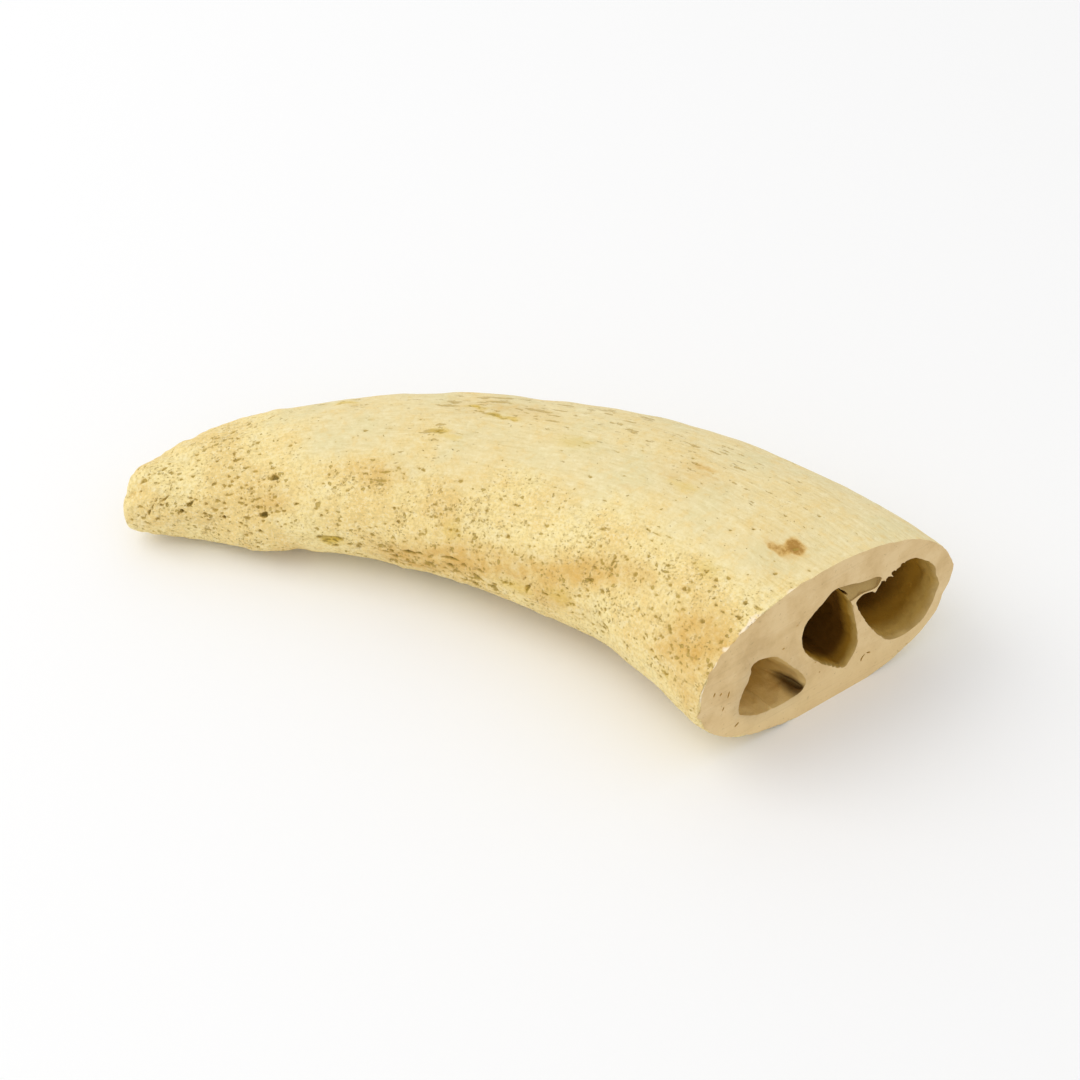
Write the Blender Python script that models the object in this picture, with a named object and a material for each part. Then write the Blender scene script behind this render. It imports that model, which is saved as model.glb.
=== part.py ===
"""A bison's horn core: the bone inside the horn, sawn off square at its base and lying on its side.

The horn is one piece of bone. Its base is sawn flat and faces +X, it runs back along -X, and it
bends round towards -Y, where it ends in a worn, blunt tip. Three air chambers open in the sawn face.
The horn rests on its belly on z = 0, and the origin is under the middle of its box.
"""

import math
import random

import bmesh
import bpy
import numpy as np

MM = 0.001

# Where the middle of the sawn face stands, in mm from the origin.
CUT_X = 75.3
CUT_Y = 32.9

# The horn from its base to its tip, in mm: how far back from the cut, how far across,
# half the width of the section, and the height of the section.
STATIONS = (
    (0.0, 0.3, 37.6, 46.0),
    (12.0, -0.6, 37.1, 45.0),
    (26.0, -2.2, 35.8, 43.4),
    (45.5, -6.0, 33.7, 40.8),
    (70.5, -16.7, 31.4, 37.6),
    (97.0, -33.8, 27.8, 33.8),
    (119.0, -56.8, 21.8, 29.8),
    (134.0, -77.4, 17.6, 24.4),
    (141.8, -103.5, 6.5, 22.5),
)
WIDEST_AT = 0.49
CROWN_FULLNESS = 2.0
BELLY_FULLNESS = 2.25
ROLL_AT_CUT = math.radians(-3.5)
TIP_STARTS = 0.85
TIP_BLUNTNESS = 2.8

# Steps along and round the horn between which its slope is measured, in mm and radians.
NORMAL_STEP = 0.6
NORMAL_TURN = 0.02

# Worn relief of the surface, in mm.
LUMP_SIZE = 26.0
LUMP_HEIGHT = 0.6
RIPPLE_SIZE = 9.0
RIPPLE_HEIGHT = 0.4
TIP_WEAR_SIZE = 6.5
TIP_WEAR_HEIGHT = 1.3
TIP_WEAR_LOSS = 0.3
TIP_WEAR_FROM = 0.80
CUT_CALM = 7.0
END_CALM = 0.5
REST_DEPTH = 0.45

# Single swellings and hollows, in mm and degrees: distance along the horn, angle round it, reach
# along, reach round, and height, which is negative for a hollow. The angle is 0 on the outer side of
# the bend, 90 on the crown, 180 on the inner side and 270 on the belly.
SWELLING_REACH_SHARE = 0.8
SWELLINGS = (
    (181.0, 58.0, 5.0, 6.0, 1.0),
    (186.0, 110.0, 4.0, 5.0, -0.7),
    (187.0, 200.0, 5.0, 5.0, 0.6),
    (176.0, 202.0, 7.0, 6.0, -1.3),
    (155.0, 213.0, 6.0, 7.0, 0.6),
    (143.0, 207.0, 3.5, 5.0, -0.9),
    (128.0, 204.0, 9.0, 8.0, -0.6),
    (5.0, 188.0, 8.0, 9.0, 0.3),
    (2.0, 349.0, 3.0, 3.5, -1.6),
    (0.0, 8.0, 3.0, 3.0, 0.4),
)

# How finely the outside is divided, and how the rings crowd towards the tip.
RINGS = 50
SIDES = 54
RING_CROWDING = 1.25
LAST_RING_GAP = 0.05

# Outlines of the chambers in the sawn face, in mm: across and up, seen from +X.
NEAR_OUTLINE = (
    (-25.6, 14.2), (-24.2, 21.2), (-22.6, 27.2), (-19.0, 28.2), (-14.0, 24.2),
    (-8.0, 16.2), (-5.6, 10.8), (-9.5, 8.6), (-17.0, 9.7), (-23.5, 11.7),
)
MIDDLE_OUTLINE = (
    (1.5, 37.4), (-3.0, 34.8), (-7.5, 31.8), (-8.3, 26.2), (-5.5, 20.2), (-1.0, 14.4),
    (4.3, 9.4), (7.6, 10.0), (9.2, 15.2), (7.8, 23.2), (6.0, 30.2),
)
FAR_OUTLINE = (
    (8.2, 29.2), (11.0, 31.6), (15.5, 32.0), (20.0, 33.4), (25.0, 33.4), (30.5, 28.8),
    (34.0, 20.7), (32.5, 14.7), (28.0, 10.1), (22.5, 8.7), (17.5, 12.0), (13.0, 18.2),
    (9.6, 24.7),
)
# The broken top of the wall between the middle and the far chamber.
NOTCH_OUTLINE = (
    (2.6, 36.8), (7.0, 35.6), (13.0, 34.2), (17.5, 33.6), (17.5, 30.7), (12.0, 29.6),
    (8.5, 29.8), (5.5, 31.2),
)
NOTCH_DEPTH = 3.2
NOTCH_NARROWING = 0.86

# Each chamber from its mouth inwards, in mm: depth, share of its width, share of its height,
# shift across and shift up. The shares are taken about the chamber's own anchor point.
CHAMBERS = {
    "near_chamber": {
        "outline": NEAR_OUTLINE,
        "anchor": (-25.0, 9.5),
        "rings": (
            (0.0, 1.00, 1.00, 0.0, 0.0), (4.0, 0.96, 0.93, 0.0, 0.0),
            (9.0, 0.86, 0.78, 0.0, 0.2), (14.0, 0.72, 0.60, -0.2, 0.8),
            (20.0, 0.54, 0.44, -0.6, 1.6), (27.0, 0.28, 0.22, -1.2, 3.0),
        ),
    },
    "middle_chamber": {
        "outline": MIDDLE_OUTLINE,
        "anchor": (1.0, 19.2),
        "rings": (
            (0.0, 1.00, 1.00, 0.0, 0.0), (7.0, 0.97, 0.95, -0.2, 0.0),
            (18.0, 0.92, 0.88, -1.2, 0.0), (33.0, 0.80, 0.74, -3.5, 0.0),
            (48.0, 0.58, 0.55, -7.0, 0.0), (58.0, 0.28, 0.26, -10.0, 0.0),
        ),
    },
    "far_chamber": {
        "outline": FAR_OUTLINE,
        "anchor": (21.0, 19.2),
        "rings": (
            (0.0, 1.00, 1.00, 0.0, 0.0), (7.0, 0.96, 0.95, -0.4, 0.0),
            (17.0, 0.88, 0.87, -1.8, 0.0), (30.0, 0.74, 0.73, -5.0, 0.0),
            (42.0, 0.52, 0.50, -9.5, 0.0), (50.0, 0.26, 0.24, -13.0, 0.0),
        ),
    },
}
CHAMBER_SIDES = 22
MOUTH_OVERSHOOT = 2.0
CURVE_STEPS = 40

# The larger holes in the surface, in mm and degrees: distance along the horn, angle round it,
# length, width and depth.
NAMED_PITS = (
    (150.0, 127.0, 2.8, 2.0, 1.2),
    (153.0, 160.0, 3.0, 2.2, 1.3),
    (174.0, 146.0, 1.8, 1.5, 0.9),
    (177.0, 156.0, 2.2, 1.6, 1.0),
    (164.0, 78.0, 2.2, 1.6, 0.8),
    (160.0, 106.0, 1.8, 1.5, 0.8),
    (146.0, 102.0, 1.6, 1.4, 0.8),
    (128.0, 94.0, 3.4, 1.4, 0.7),
    (110.0, 93.0, 4.0, 1.6, 0.7),
    (103.0, 70.0, 6.0, 1.6, 0.7),
    (95.0, 78.0, 5.0, 1.5, 0.6),
    (138.0, 181.0, 6.0, 2.2, 1.0),
    (132.0, 184.0, 4.0, 1.8, 0.9),
    (81.0, 149.0, 1.7, 1.4, 0.8),
    (44.0, 122.0, 4.5, 1.3, 0.6),
    (23.0, 136.0, 1.7, 1.5, 0.9),
    (21.0, 125.0, 1.6, 1.4, 0.8),
    (17.5, 126.0, 1.5, 1.4, 0.8),
    (5.5, 133.0, 1.8, 1.6, 0.9),
    (7.0, 126.0, 1.7, 1.5, 0.9),
    (13.0, 143.0, 2.0, 1.6, 0.9),
    (16.0, 181.0, 2.4, 1.6, 1.0),
)
# More of them, strewn over the whole horn apart from its belly.
STREWN_PITS = 26
STREWN_SEED = 11
STREWN_WIDTHS = (1.5, 2.6)
STREWN_STRETCH = (1.0, 2.4)
STREWN_DEPTH = 0.45
STREWN_END_MARGIN = 7.0
BELLY_ANGLES = (235.0, 305.0)
PIT_SPACING = 6.0
PIT_RISE = 0.12

BONE_COLOUR = (0.78, 0.67, 0.41, 1.0)
BONE_ROUGHNESS = 0.72
SHARP_ANGLE = math.radians(40)


def hermite(knots, values, at):
    """A smooth curve through the values at the knots, with central slopes, read at the given places."""
    knots = np.asarray(knots, float)
    values = np.asarray(values, float)
    slopes = np.gradient(values, knots, axis=0)
    i = np.clip(np.searchsorted(knots, at, side="right") - 1, 0, len(knots) - 2)
    span = knots[i + 1] - knots[i]
    t = ((at - knots[i]) / span)[:, None]
    span = span[:, None]
    start = (1 + 2 * t) * (1 - t) ** 2 * values[i] + t * (1 - t) ** 2 * span * slopes[i]
    end = t * t * (3 - 2 * t) * values[i + 1] + t * t * (t - 1) * span * slopes[i + 1]
    return start + end


def smooth_step(low, high, value):
    """0 below low, 1 above high, and an even rise between them."""
    t = np.clip((value - low) / (high - low), 0.0, 1.0)
    return t * t * (3 - 2 * t)


def lattice_value(cells, seed):
    """A fixed number from -1 to 1 for each whole-number cell."""
    mixed = cells[..., 0] * 374761393 + cells[..., 1] * 668265263 + cells[..., 2] * 2147483647
    mixed = (mixed + seed * 144665) & 0xFFFFFFFF
    mixed = ((mixed ^ (mixed >> 13)) * 1274126177) & 0xFFFFFFFF
    mixed ^= mixed >> 16
    return mixed / 0x7FFFFFFF - 1.0


def bumps(points, size, seed):
    """Smooth noise from about -1 to 1, with bumps of the given size."""
    scaled = np.asarray(points, float) / size
    base = np.floor(scaled).astype(np.int64)
    part = scaled - base
    ease = part * part * part * (part * (part * 6 - 15) + 10)
    total = np.zeros(scaled.shape[:-1])
    for corner in np.ndindex(2, 2, 2):
        weight = np.prod(np.where(corner, ease, 1 - ease), axis=-1)
        total += weight * lattice_value(base + corner, seed)
    return total


def station_line():
    """Distances of the stations along the horn, in mm, and their values."""
    stations = np.array(STATIONS)
    steps = np.linalg.norm(np.diff(stations[:, :2], axis=0), axis=1)
    return np.concatenate([[0.0], np.cumsum(steps)]), stations


def horn_length():
    """Length of the horn's centre line, in mm."""
    return station_line()[0][-1]


def frame_at(along):
    """Centre, way outward in plan, half width, height and closing at the tip, at distances in mm."""
    knots, stations = station_line()
    plan = stations[:, :2] * (-1.0, 1.0)
    along = np.atleast_1d(np.asarray(along, float))
    centre = hermite(knots, plan, along)
    ahead = hermite(knots, plan, np.minimum(along + 0.5, knots[-1]))
    behind = hermite(knots, plan, np.maximum(along - 0.5, 0.0))
    forward = ahead - behind
    forward /= np.linalg.norm(forward, axis=1)[:, None]
    forward[along < 1e-6] = (-1.0, 0.0)
    outward = np.stack([forward[:, 1], -forward[:, 0]], axis=1)
    size = hermite(knots, stations[:, 2:], along)
    share = np.clip((along / knots[-1] - TIP_STARTS) / (1 - TIP_STARTS), 0, 1)
    closing = np.clip(1 - share**TIP_BLUNTNESS, 0, 1) ** (1 / TIP_BLUNTNESS)
    return centre, outward, size[:, 0], size[:, 1], closing


def plain_surface(along, around):
    """Points of the smooth horn, in mm: along is in mm, around in radians, and both are lists of n."""
    centre, outward, half_width, height, closing = frame_at(along)
    cosine, sine = np.cos(around), np.sin(around)
    fullness = np.where(sine > 0, CROWN_FULLNESS, BELLY_FULLNESS)
    sideways = half_width * closing * np.sign(cosine) * np.abs(cosine) ** (2 / fullness)
    reach = np.where(sine > 0, 1 - WIDEST_AT, WIDEST_AT) * height
    upward = reach * closing * np.sign(sine) * np.abs(sine) ** (2 / fullness)
    roll = ROLL_AT_CUT * (1 - along / horn_length())
    rolled_sideways = sideways * np.cos(roll) - upward * np.sin(roll)
    points = np.empty((len(around), 3))
    points[:, :2] = centre + outward * rolled_sideways[:, None]
    points[:, 2] = WIDEST_AT * height + sideways * np.sin(roll) + upward * np.cos(roll)
    return points


def swelling_height(along, around):
    """Height of the single swellings and hollows, in mm, at distances in mm and angles in radians."""
    half_width = frame_at(along)[2]
    total = np.zeros(len(along))
    for where, angle, reach_along, reach_round, height in SWELLINGS:
        turn = np.remainder(around - math.radians(angle) + math.pi, 2 * math.pi) - math.pi
        aside = turn * half_width * SWELLING_REACH_SHARE
        away = ((along - where) / reach_along) ** 2 + (aside / reach_round) ** 2
        total += height * np.exp(-away)
    return total


def relief_height(points, along, around):
    """Height of the worn relief above the smooth horn, in mm. It fades out at the sawn edge."""
    tip = smooth_step(TIP_WEAR_FROM, 1.0, along / horn_length())
    relief = LUMP_HEIGHT * bumps(points, LUMP_SIZE, 1) + RIPPLE_HEIGHT * bumps(points, RIPPLE_SIZE, 2)
    relief += tip * TIP_WEAR_HEIGHT * (bumps(points, TIP_WEAR_SIZE, 3) - TIP_WEAR_LOSS)
    relief = relief * smooth_step(0.0, CUT_CALM, along) + swelling_height(along, around)
    return relief * smooth_step(0.0, END_CALM, frame_at(along)[4])


def horn_surface(along, around):
    """Points of the worn horn, in mm, and its outward normals."""
    along = np.asarray(along, float)
    around = np.asarray(around, float)
    step = NORMAL_STEP
    turn = NORMAL_TURN
    inside = np.minimum(along, horn_length() - step)
    points = plain_surface(along, around)
    ahead = plain_surface(inside + step, around) - plain_surface(inside, around)
    across = plain_surface(inside, around + turn) - plain_surface(inside, around - turn)
    normals = np.cross(ahead, across)
    normals /= np.maximum(np.linalg.norm(normals, axis=1), 1e-9)[:, None]
    points = points + normals * relief_height(points, along, around)[:, None]
    points[:, 0] = np.where(along < 1e-6, 0.0, np.minimum(points[:, 0], 0.0))
    return points, normals


def settle(points):
    """Moves points from the cut's own place to the origin's, and wears the belly flat where it rests."""
    moved = np.array(points, float)
    moved += (CUT_X, CUT_Y, -REST_DEPTH)
    moved[:, 2] = np.maximum(moved[:, 2], 0.0)
    return moved * MM


def ring_distances():
    """Where the rings stand along the horn, closer together towards the tip."""
    even = np.linspace(0.0, 1.0, RINGS)
    distances = horn_length() * (1 - (1 - even) ** RING_CROWDING)
    distances[-1] -= LAST_RING_GAP
    return distances


def closed_curve(corners, count):
    """Points on a smooth closed curve through the corners, evenly spaced along it."""
    corners = np.array(corners, float)
    looped = np.vstack([corners[-3:], corners, corners[:4]])
    knots = np.arange(len(looped)) - 3.0
    places = np.linspace(0.0, len(corners), CURVE_STEPS * len(corners), endpoint=False)
    fine = hermite(knots, looped, places)
    lengths = np.linalg.norm(np.roll(fine, -1, axis=0) - fine, axis=1)
    reached = np.concatenate([[0.0], np.cumsum(lengths)])
    wanted = np.linspace(0.0, reached[-1], count, endpoint=False)
    looped_fine = np.vstack([fine, fine[:1]])
    return np.stack([np.interp(wanted, reached, looped_fine[:, k]) for k in range(2)], axis=1)


def bone_material():
    """Dry cream bone."""
    material = bpy.data.materials.new("bone")
    material.use_nodes = True
    shader = material.node_tree.nodes["Principled BSDF"]
    shader.inputs["Base Color"].default_value = BONE_COLOUR
    shader.inputs["Roughness"].default_value = BONE_ROUGHNESS
    shader.inputs["Metallic"].default_value = 0.0
    return material


def new_object(name, mesh_data):
    """An object from a bmesh, with its faces pointing out."""
    bmesh.ops.recalc_face_normals(mesh_data, faces=mesh_data.faces)
    mesh = bpy.data.meshes.new(name)
    mesh_data.to_mesh(mesh)
    mesh_data.free()
    made = bpy.data.objects.new(name, mesh)
    bpy.context.scene.collection.objects.link(made)
    return made


def loft(rings):
    """A closed bmesh through rings of equal count, with both ends filled."""
    mesh_data = bmesh.new()
    rows = [[mesh_data.verts.new(point) for point in ring] for ring in rings]
    for first, second in zip(rows, rows[1:]):
        for k in range(len(first)):
            j = (k + 1) % len(first)
            mesh_data.faces.new((first[k], first[j], second[j], second[k]))
    mesh_data.faces.new(rows[0])
    mesh_data.faces.new(rows[-1])
    return mesh_data


def make_outside():
    """The whole horn without its chambers and holes."""
    around = np.linspace(0.0, 2 * math.pi, SIDES, endpoint=False)
    rings = [settle(horn_surface(np.full(SIDES, along), around)[0]) for along in ring_distances()]
    return loft(rings)


def chamber_rings(chamber, sides):
    """Rings of one chamber in mm, from just outside its mouth to its closed end."""
    outline = closed_curve(chamber["outline"], sides)
    anchor = np.array(chamber["anchor"])
    rings = []
    for depth, wide, high, across, up in ((-MOUTH_OVERSHOOT, 1.0, 1.0, 0.0, 0.0), *chamber["rings"]):
        flat = anchor + (outline - anchor) * (wide, high) + (across, up)
        rings.append(np.column_stack([np.full(sides, -depth), flat]))
    return rings


def make_chamber(name, chamber):
    """A closed body that fills one chamber."""
    rings = [settle(ring) for ring in chamber_rings(chamber, CHAMBER_SIDES)]
    return new_object(name, loft(rings))


def make_notch():
    """The broken top of the wall between two chambers, cut a little way into the sawn face."""
    outline = closed_curve(NOTCH_OUTLINE, CHAMBER_SIDES)
    rings = []
    middle = outline.mean(axis=0)
    for depth, share in ((-MOUTH_OVERSHOOT, 1.0), (NOTCH_DEPTH, NOTCH_NARROWING)):
        flat = middle + (outline - middle) * share
        rings.append(settle(np.column_stack([np.full(len(flat), -depth), flat])))
    return new_object("broken_wall", loft(rings))


def strewn_pits():
    """Pits of mixed size over the whole horn, kept apart from each other and from the named ones."""
    pick = random.Random(STREWN_SEED)
    places = [pit[:2] for pit in NAMED_PITS]
    found = []
    while len(found) < STREWN_PITS:
        along = pick.uniform(STREWN_END_MARGIN, horn_length() - STREWN_END_MARGIN)
        angle = pick.uniform(0.0, 360.0)
        width = pick.uniform(*STREWN_WIDTHS)
        length = width * pick.uniform(*STREWN_STRETCH)
        reach = math.radians(1.0) * frame_at(along)[2][0]
        near = [math.hypot(along - a, (angle - b) * reach) for a, b in places]
        on_belly = BELLY_ANGLES[0] < angle < BELLY_ANGLES[1]
        if on_belly or min(near, default=PIT_SPACING) < PIT_SPACING:
            continue
        places.append((along, angle))
        found.append((along, angle, length, width, width * STREWN_DEPTH))
    return found


def make_pits():
    """One bmesh of small blunt lozenges that sink into the surface, one for each pit."""
    mesh_data = bmesh.new()
    for along, angle, length, width, depth in (*NAMED_PITS, *strewn_pits()):
        theta = math.radians(angle)
        point, normal = (values[0] for values in horn_surface([along], [theta]))
        ahead = horn_surface([along + NORMAL_STEP], [theta])[0][0] - point
        ahead -= normal * (ahead @ normal)
        ahead /= np.linalg.norm(ahead)
        beside = np.cross(normal, ahead)
        made = bmesh.ops.create_icosphere(mesh_data, subdivisions=1, radius=1.0)
        for vertex in made["verts"]:
            x, y, z = vertex.co
            local = ahead * (x * length / 2) + beside * (y * width / 2)
            local += normal * (z + PIT_RISE) * depth
            vertex.co = ((point + local) + (CUT_X, CUT_Y, -REST_DEPTH)) * MM
    return new_object("pits", mesh_data)


def cut_away(body, cutter):
    """Takes the cutter's shape out of the body."""
    cutter.hide_render = True
    cutter.display_type = "WIRE"
    boolean = body.modifiers.new(cutter.name, "BOOLEAN")
    boolean.operation = "DIFFERENCE"
    boolean.solver = "EXACT"
    boolean.object = cutter


def main():
    """Builds the horn and takes its chambers, the broken wall and the pits out of it."""
    for old in list(bpy.data.objects):
        bpy.data.objects.remove(old)
    horn = new_object("horn", make_outside())
    horn.data.materials.append(bone_material())
    for name, chamber in CHAMBERS.items():
        cut_away(horn, make_chamber(name, chamber))
    cut_away(horn, make_notch())
    cut_away(horn, make_pits())
    horn.data.shade_smooth()
    horn.data.set_sharp_from_angle(angle=SHARP_ANGLE)


main()
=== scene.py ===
"""The looks of a bison's horn core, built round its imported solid.

One dense mesh stands for the solid. It has the solid's own form, with the fibres, pores, pits and
worn relief of the bone added, and three finishes: the outer bone, the sawn face and the chambers.
"""

import logging
import math
import random
from dataclasses import dataclass, field
from enum import Enum
from typing import Any, Mapping, Sequence

import bpy
import numpy as np
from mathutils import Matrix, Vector, kdtree


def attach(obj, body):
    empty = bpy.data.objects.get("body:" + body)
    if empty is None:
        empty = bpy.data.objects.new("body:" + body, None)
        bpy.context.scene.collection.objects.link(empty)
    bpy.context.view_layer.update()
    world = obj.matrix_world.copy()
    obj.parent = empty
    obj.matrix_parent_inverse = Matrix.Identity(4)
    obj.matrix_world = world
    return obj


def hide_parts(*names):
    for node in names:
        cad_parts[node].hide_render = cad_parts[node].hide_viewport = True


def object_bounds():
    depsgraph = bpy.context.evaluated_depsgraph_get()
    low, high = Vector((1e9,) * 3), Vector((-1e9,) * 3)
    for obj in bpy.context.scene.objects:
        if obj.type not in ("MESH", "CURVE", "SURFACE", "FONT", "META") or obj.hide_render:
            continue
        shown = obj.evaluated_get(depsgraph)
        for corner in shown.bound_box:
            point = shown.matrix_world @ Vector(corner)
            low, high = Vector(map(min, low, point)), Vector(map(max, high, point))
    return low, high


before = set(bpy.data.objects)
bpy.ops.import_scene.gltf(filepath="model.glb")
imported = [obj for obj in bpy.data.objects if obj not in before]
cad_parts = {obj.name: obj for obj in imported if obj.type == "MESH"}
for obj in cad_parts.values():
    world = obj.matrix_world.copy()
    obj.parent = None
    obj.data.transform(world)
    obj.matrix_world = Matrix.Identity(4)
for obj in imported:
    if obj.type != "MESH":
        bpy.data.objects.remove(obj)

CAD_BOX = [list(corner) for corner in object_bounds()]
MM = 0.001
LOG = logging.getLogger("horn")

Array = np.ndarray
Colour = tuple[float, float, float]


def srgb(red: int, green: int, blue: int) -> Colour:
    """A display colour from 0 to 255 as the linear colour that a shader takes.

    Args:
        red: Red part.
        green: Green part.
        blue: Blue part.

    Returns:
        The three linear parts.
    """
    parts = (value / 255 for value in (red, green, blue))
    return tuple(p / 12.92 if p <= 0.04045 else ((p + 0.055) / 1.055) ** 2.4 for p in parts)


def hermite(knots: Array, values: Array, at: Array) -> Array:
    """A smooth curve through the values at the knots, with central slopes.

    Args:
        knots: Where the values stand, in rising order.
        values: One row for each knot.
        at: Places to read the curve at.

    Returns:
        One row for each place.
    """
    slopes = np.gradient(values, knots, axis=0)
    i = np.clip(np.searchsorted(knots, at, side="right") - 1, 0, len(knots) - 2)
    span = knots[i + 1] - knots[i]
    t = ((at - knots[i]) / span)[:, None]
    span = span[:, None]
    start = (1 + 2 * t) * (1 - t) ** 2 * values[i] + t * (1 - t) ** 2 * span * slopes[i]
    end = t * t * (3 - 2 * t) * values[i + 1] + t * t * (t - 1) * span * slopes[i + 1]
    return start + end


def smooth_step(low: float, high: float, value: Array) -> Array:
    """An even rise from 0 to 1.

    Args:
        low: Where the rise starts.
        high: Where it ends.
        value: Places to read it at.

    Returns:
        Numbers from 0 to 1.
    """
    t = np.clip((value - low) / (high - low), 0.0, 1.0)
    return t * t * (3 - 2 * t)


def bumps(points: Array, size: float, seed: int) -> Array:
    """Smooth noise from about -1 to 1, the same for the same point.

    Args:
        points: Points in mm, with their three parts last.
        size: Size of a bump in mm.
        seed: Picks one noise among many.

    Returns:
        One number for each point.
    """
    scaled = np.asarray(points, float) / size
    base = np.floor(scaled).astype(np.int64)
    part = scaled - base
    ease = part * part * part * (part * (part * 6 - 15) + 10)
    total = np.zeros(scaled.shape[:-1])
    for corner in np.ndindex(2, 2, 2):
        cells = base + corner
        mixed = cells[..., 0] * 374761393 + cells[..., 1] * 668265263
        mixed = (mixed + cells[..., 2] * 2147483647 + seed * 144665) & 0xFFFFFFFF
        mixed = ((mixed ^ (mixed >> 13)) * 1274126177) & 0xFFFFFFFF
        mixed ^= mixed >> 16
        weight = np.prod(np.where(corner, ease, 1 - ease), axis=-1)
        total += weight * (mixed / 0x7FFFFFFF - 1.0)
    return total


def closed_curve(corners: Sequence[tuple[float, float]], count: int) -> Array:
    """Points on a smooth closed curve, evenly spaced along it.

    Args:
        corners: Points that the curve passes through, in order.
        count: How many points to return.

    Returns:
        One row for each point.
    """
    steps = 40
    drawn = np.array(corners, float)
    looped = np.vstack([drawn[-3:], drawn, drawn[:4]])
    knots = np.arange(len(looped)) - 3.0
    fine = hermite(knots, looped, np.linspace(0.0, len(drawn), steps * len(drawn), endpoint=False))
    lengths = np.linalg.norm(np.roll(fine, -1, axis=0) - fine, axis=1)
    reached = np.concatenate([[0.0], np.cumsum(lengths)])
    wanted = np.linspace(0.0, reached[-1], count, endpoint=False)
    closed = np.vstack([fine, fine[:1]])
    return np.stack([np.interp(wanted, reached, closed[:, k]) for k in range(2)], axis=1)


@dataclass(frozen=True)
class Station:
    """One section of the horn, in mm.

    Attributes:
        back: How far behind the cut it stands.
        across: How far across.
        half_width: Half its width.
        height: Its height.
    """

    back: float
    across: float
    half_width: float
    height: float


@dataclass(frozen=True)
class Patch:
    """A place on the horn: a swelling, a hollow or a stain.

    Attributes:
        along: Distance along the horn in mm.
        angle: Degrees round it: 0 outer side, 90 crown, 180 inner side, 270 belly.
        reach_along: Its reach along the horn in mm.
        reach_round: Its reach round the horn in mm.
        amount: Height in mm, negative for a hollow, or how strong a stain is.
    """

    along: float
    angle: float
    reach_along: float
    reach_round: float
    amount: float


@dataclass(frozen=True)
class Pit:
    """One hole in the surface, in mm and degrees.

    Attributes:
        along: Distance along the horn.
        angle: Degrees round it.
        length: Its length.
        width: Its width.
        depth: Its depth.
        slant: Degrees between its length and the horn's.
    """

    along: float
    angle: float
    length: float
    width: float
    depth: float
    slant: float = 0.0


def rows(kind: type, *table: tuple[Any, ...]) -> tuple[Any, ...]:
    """One item of a kind for each row of a table."""
    return tuple(kind(*row) for row in table)


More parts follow.
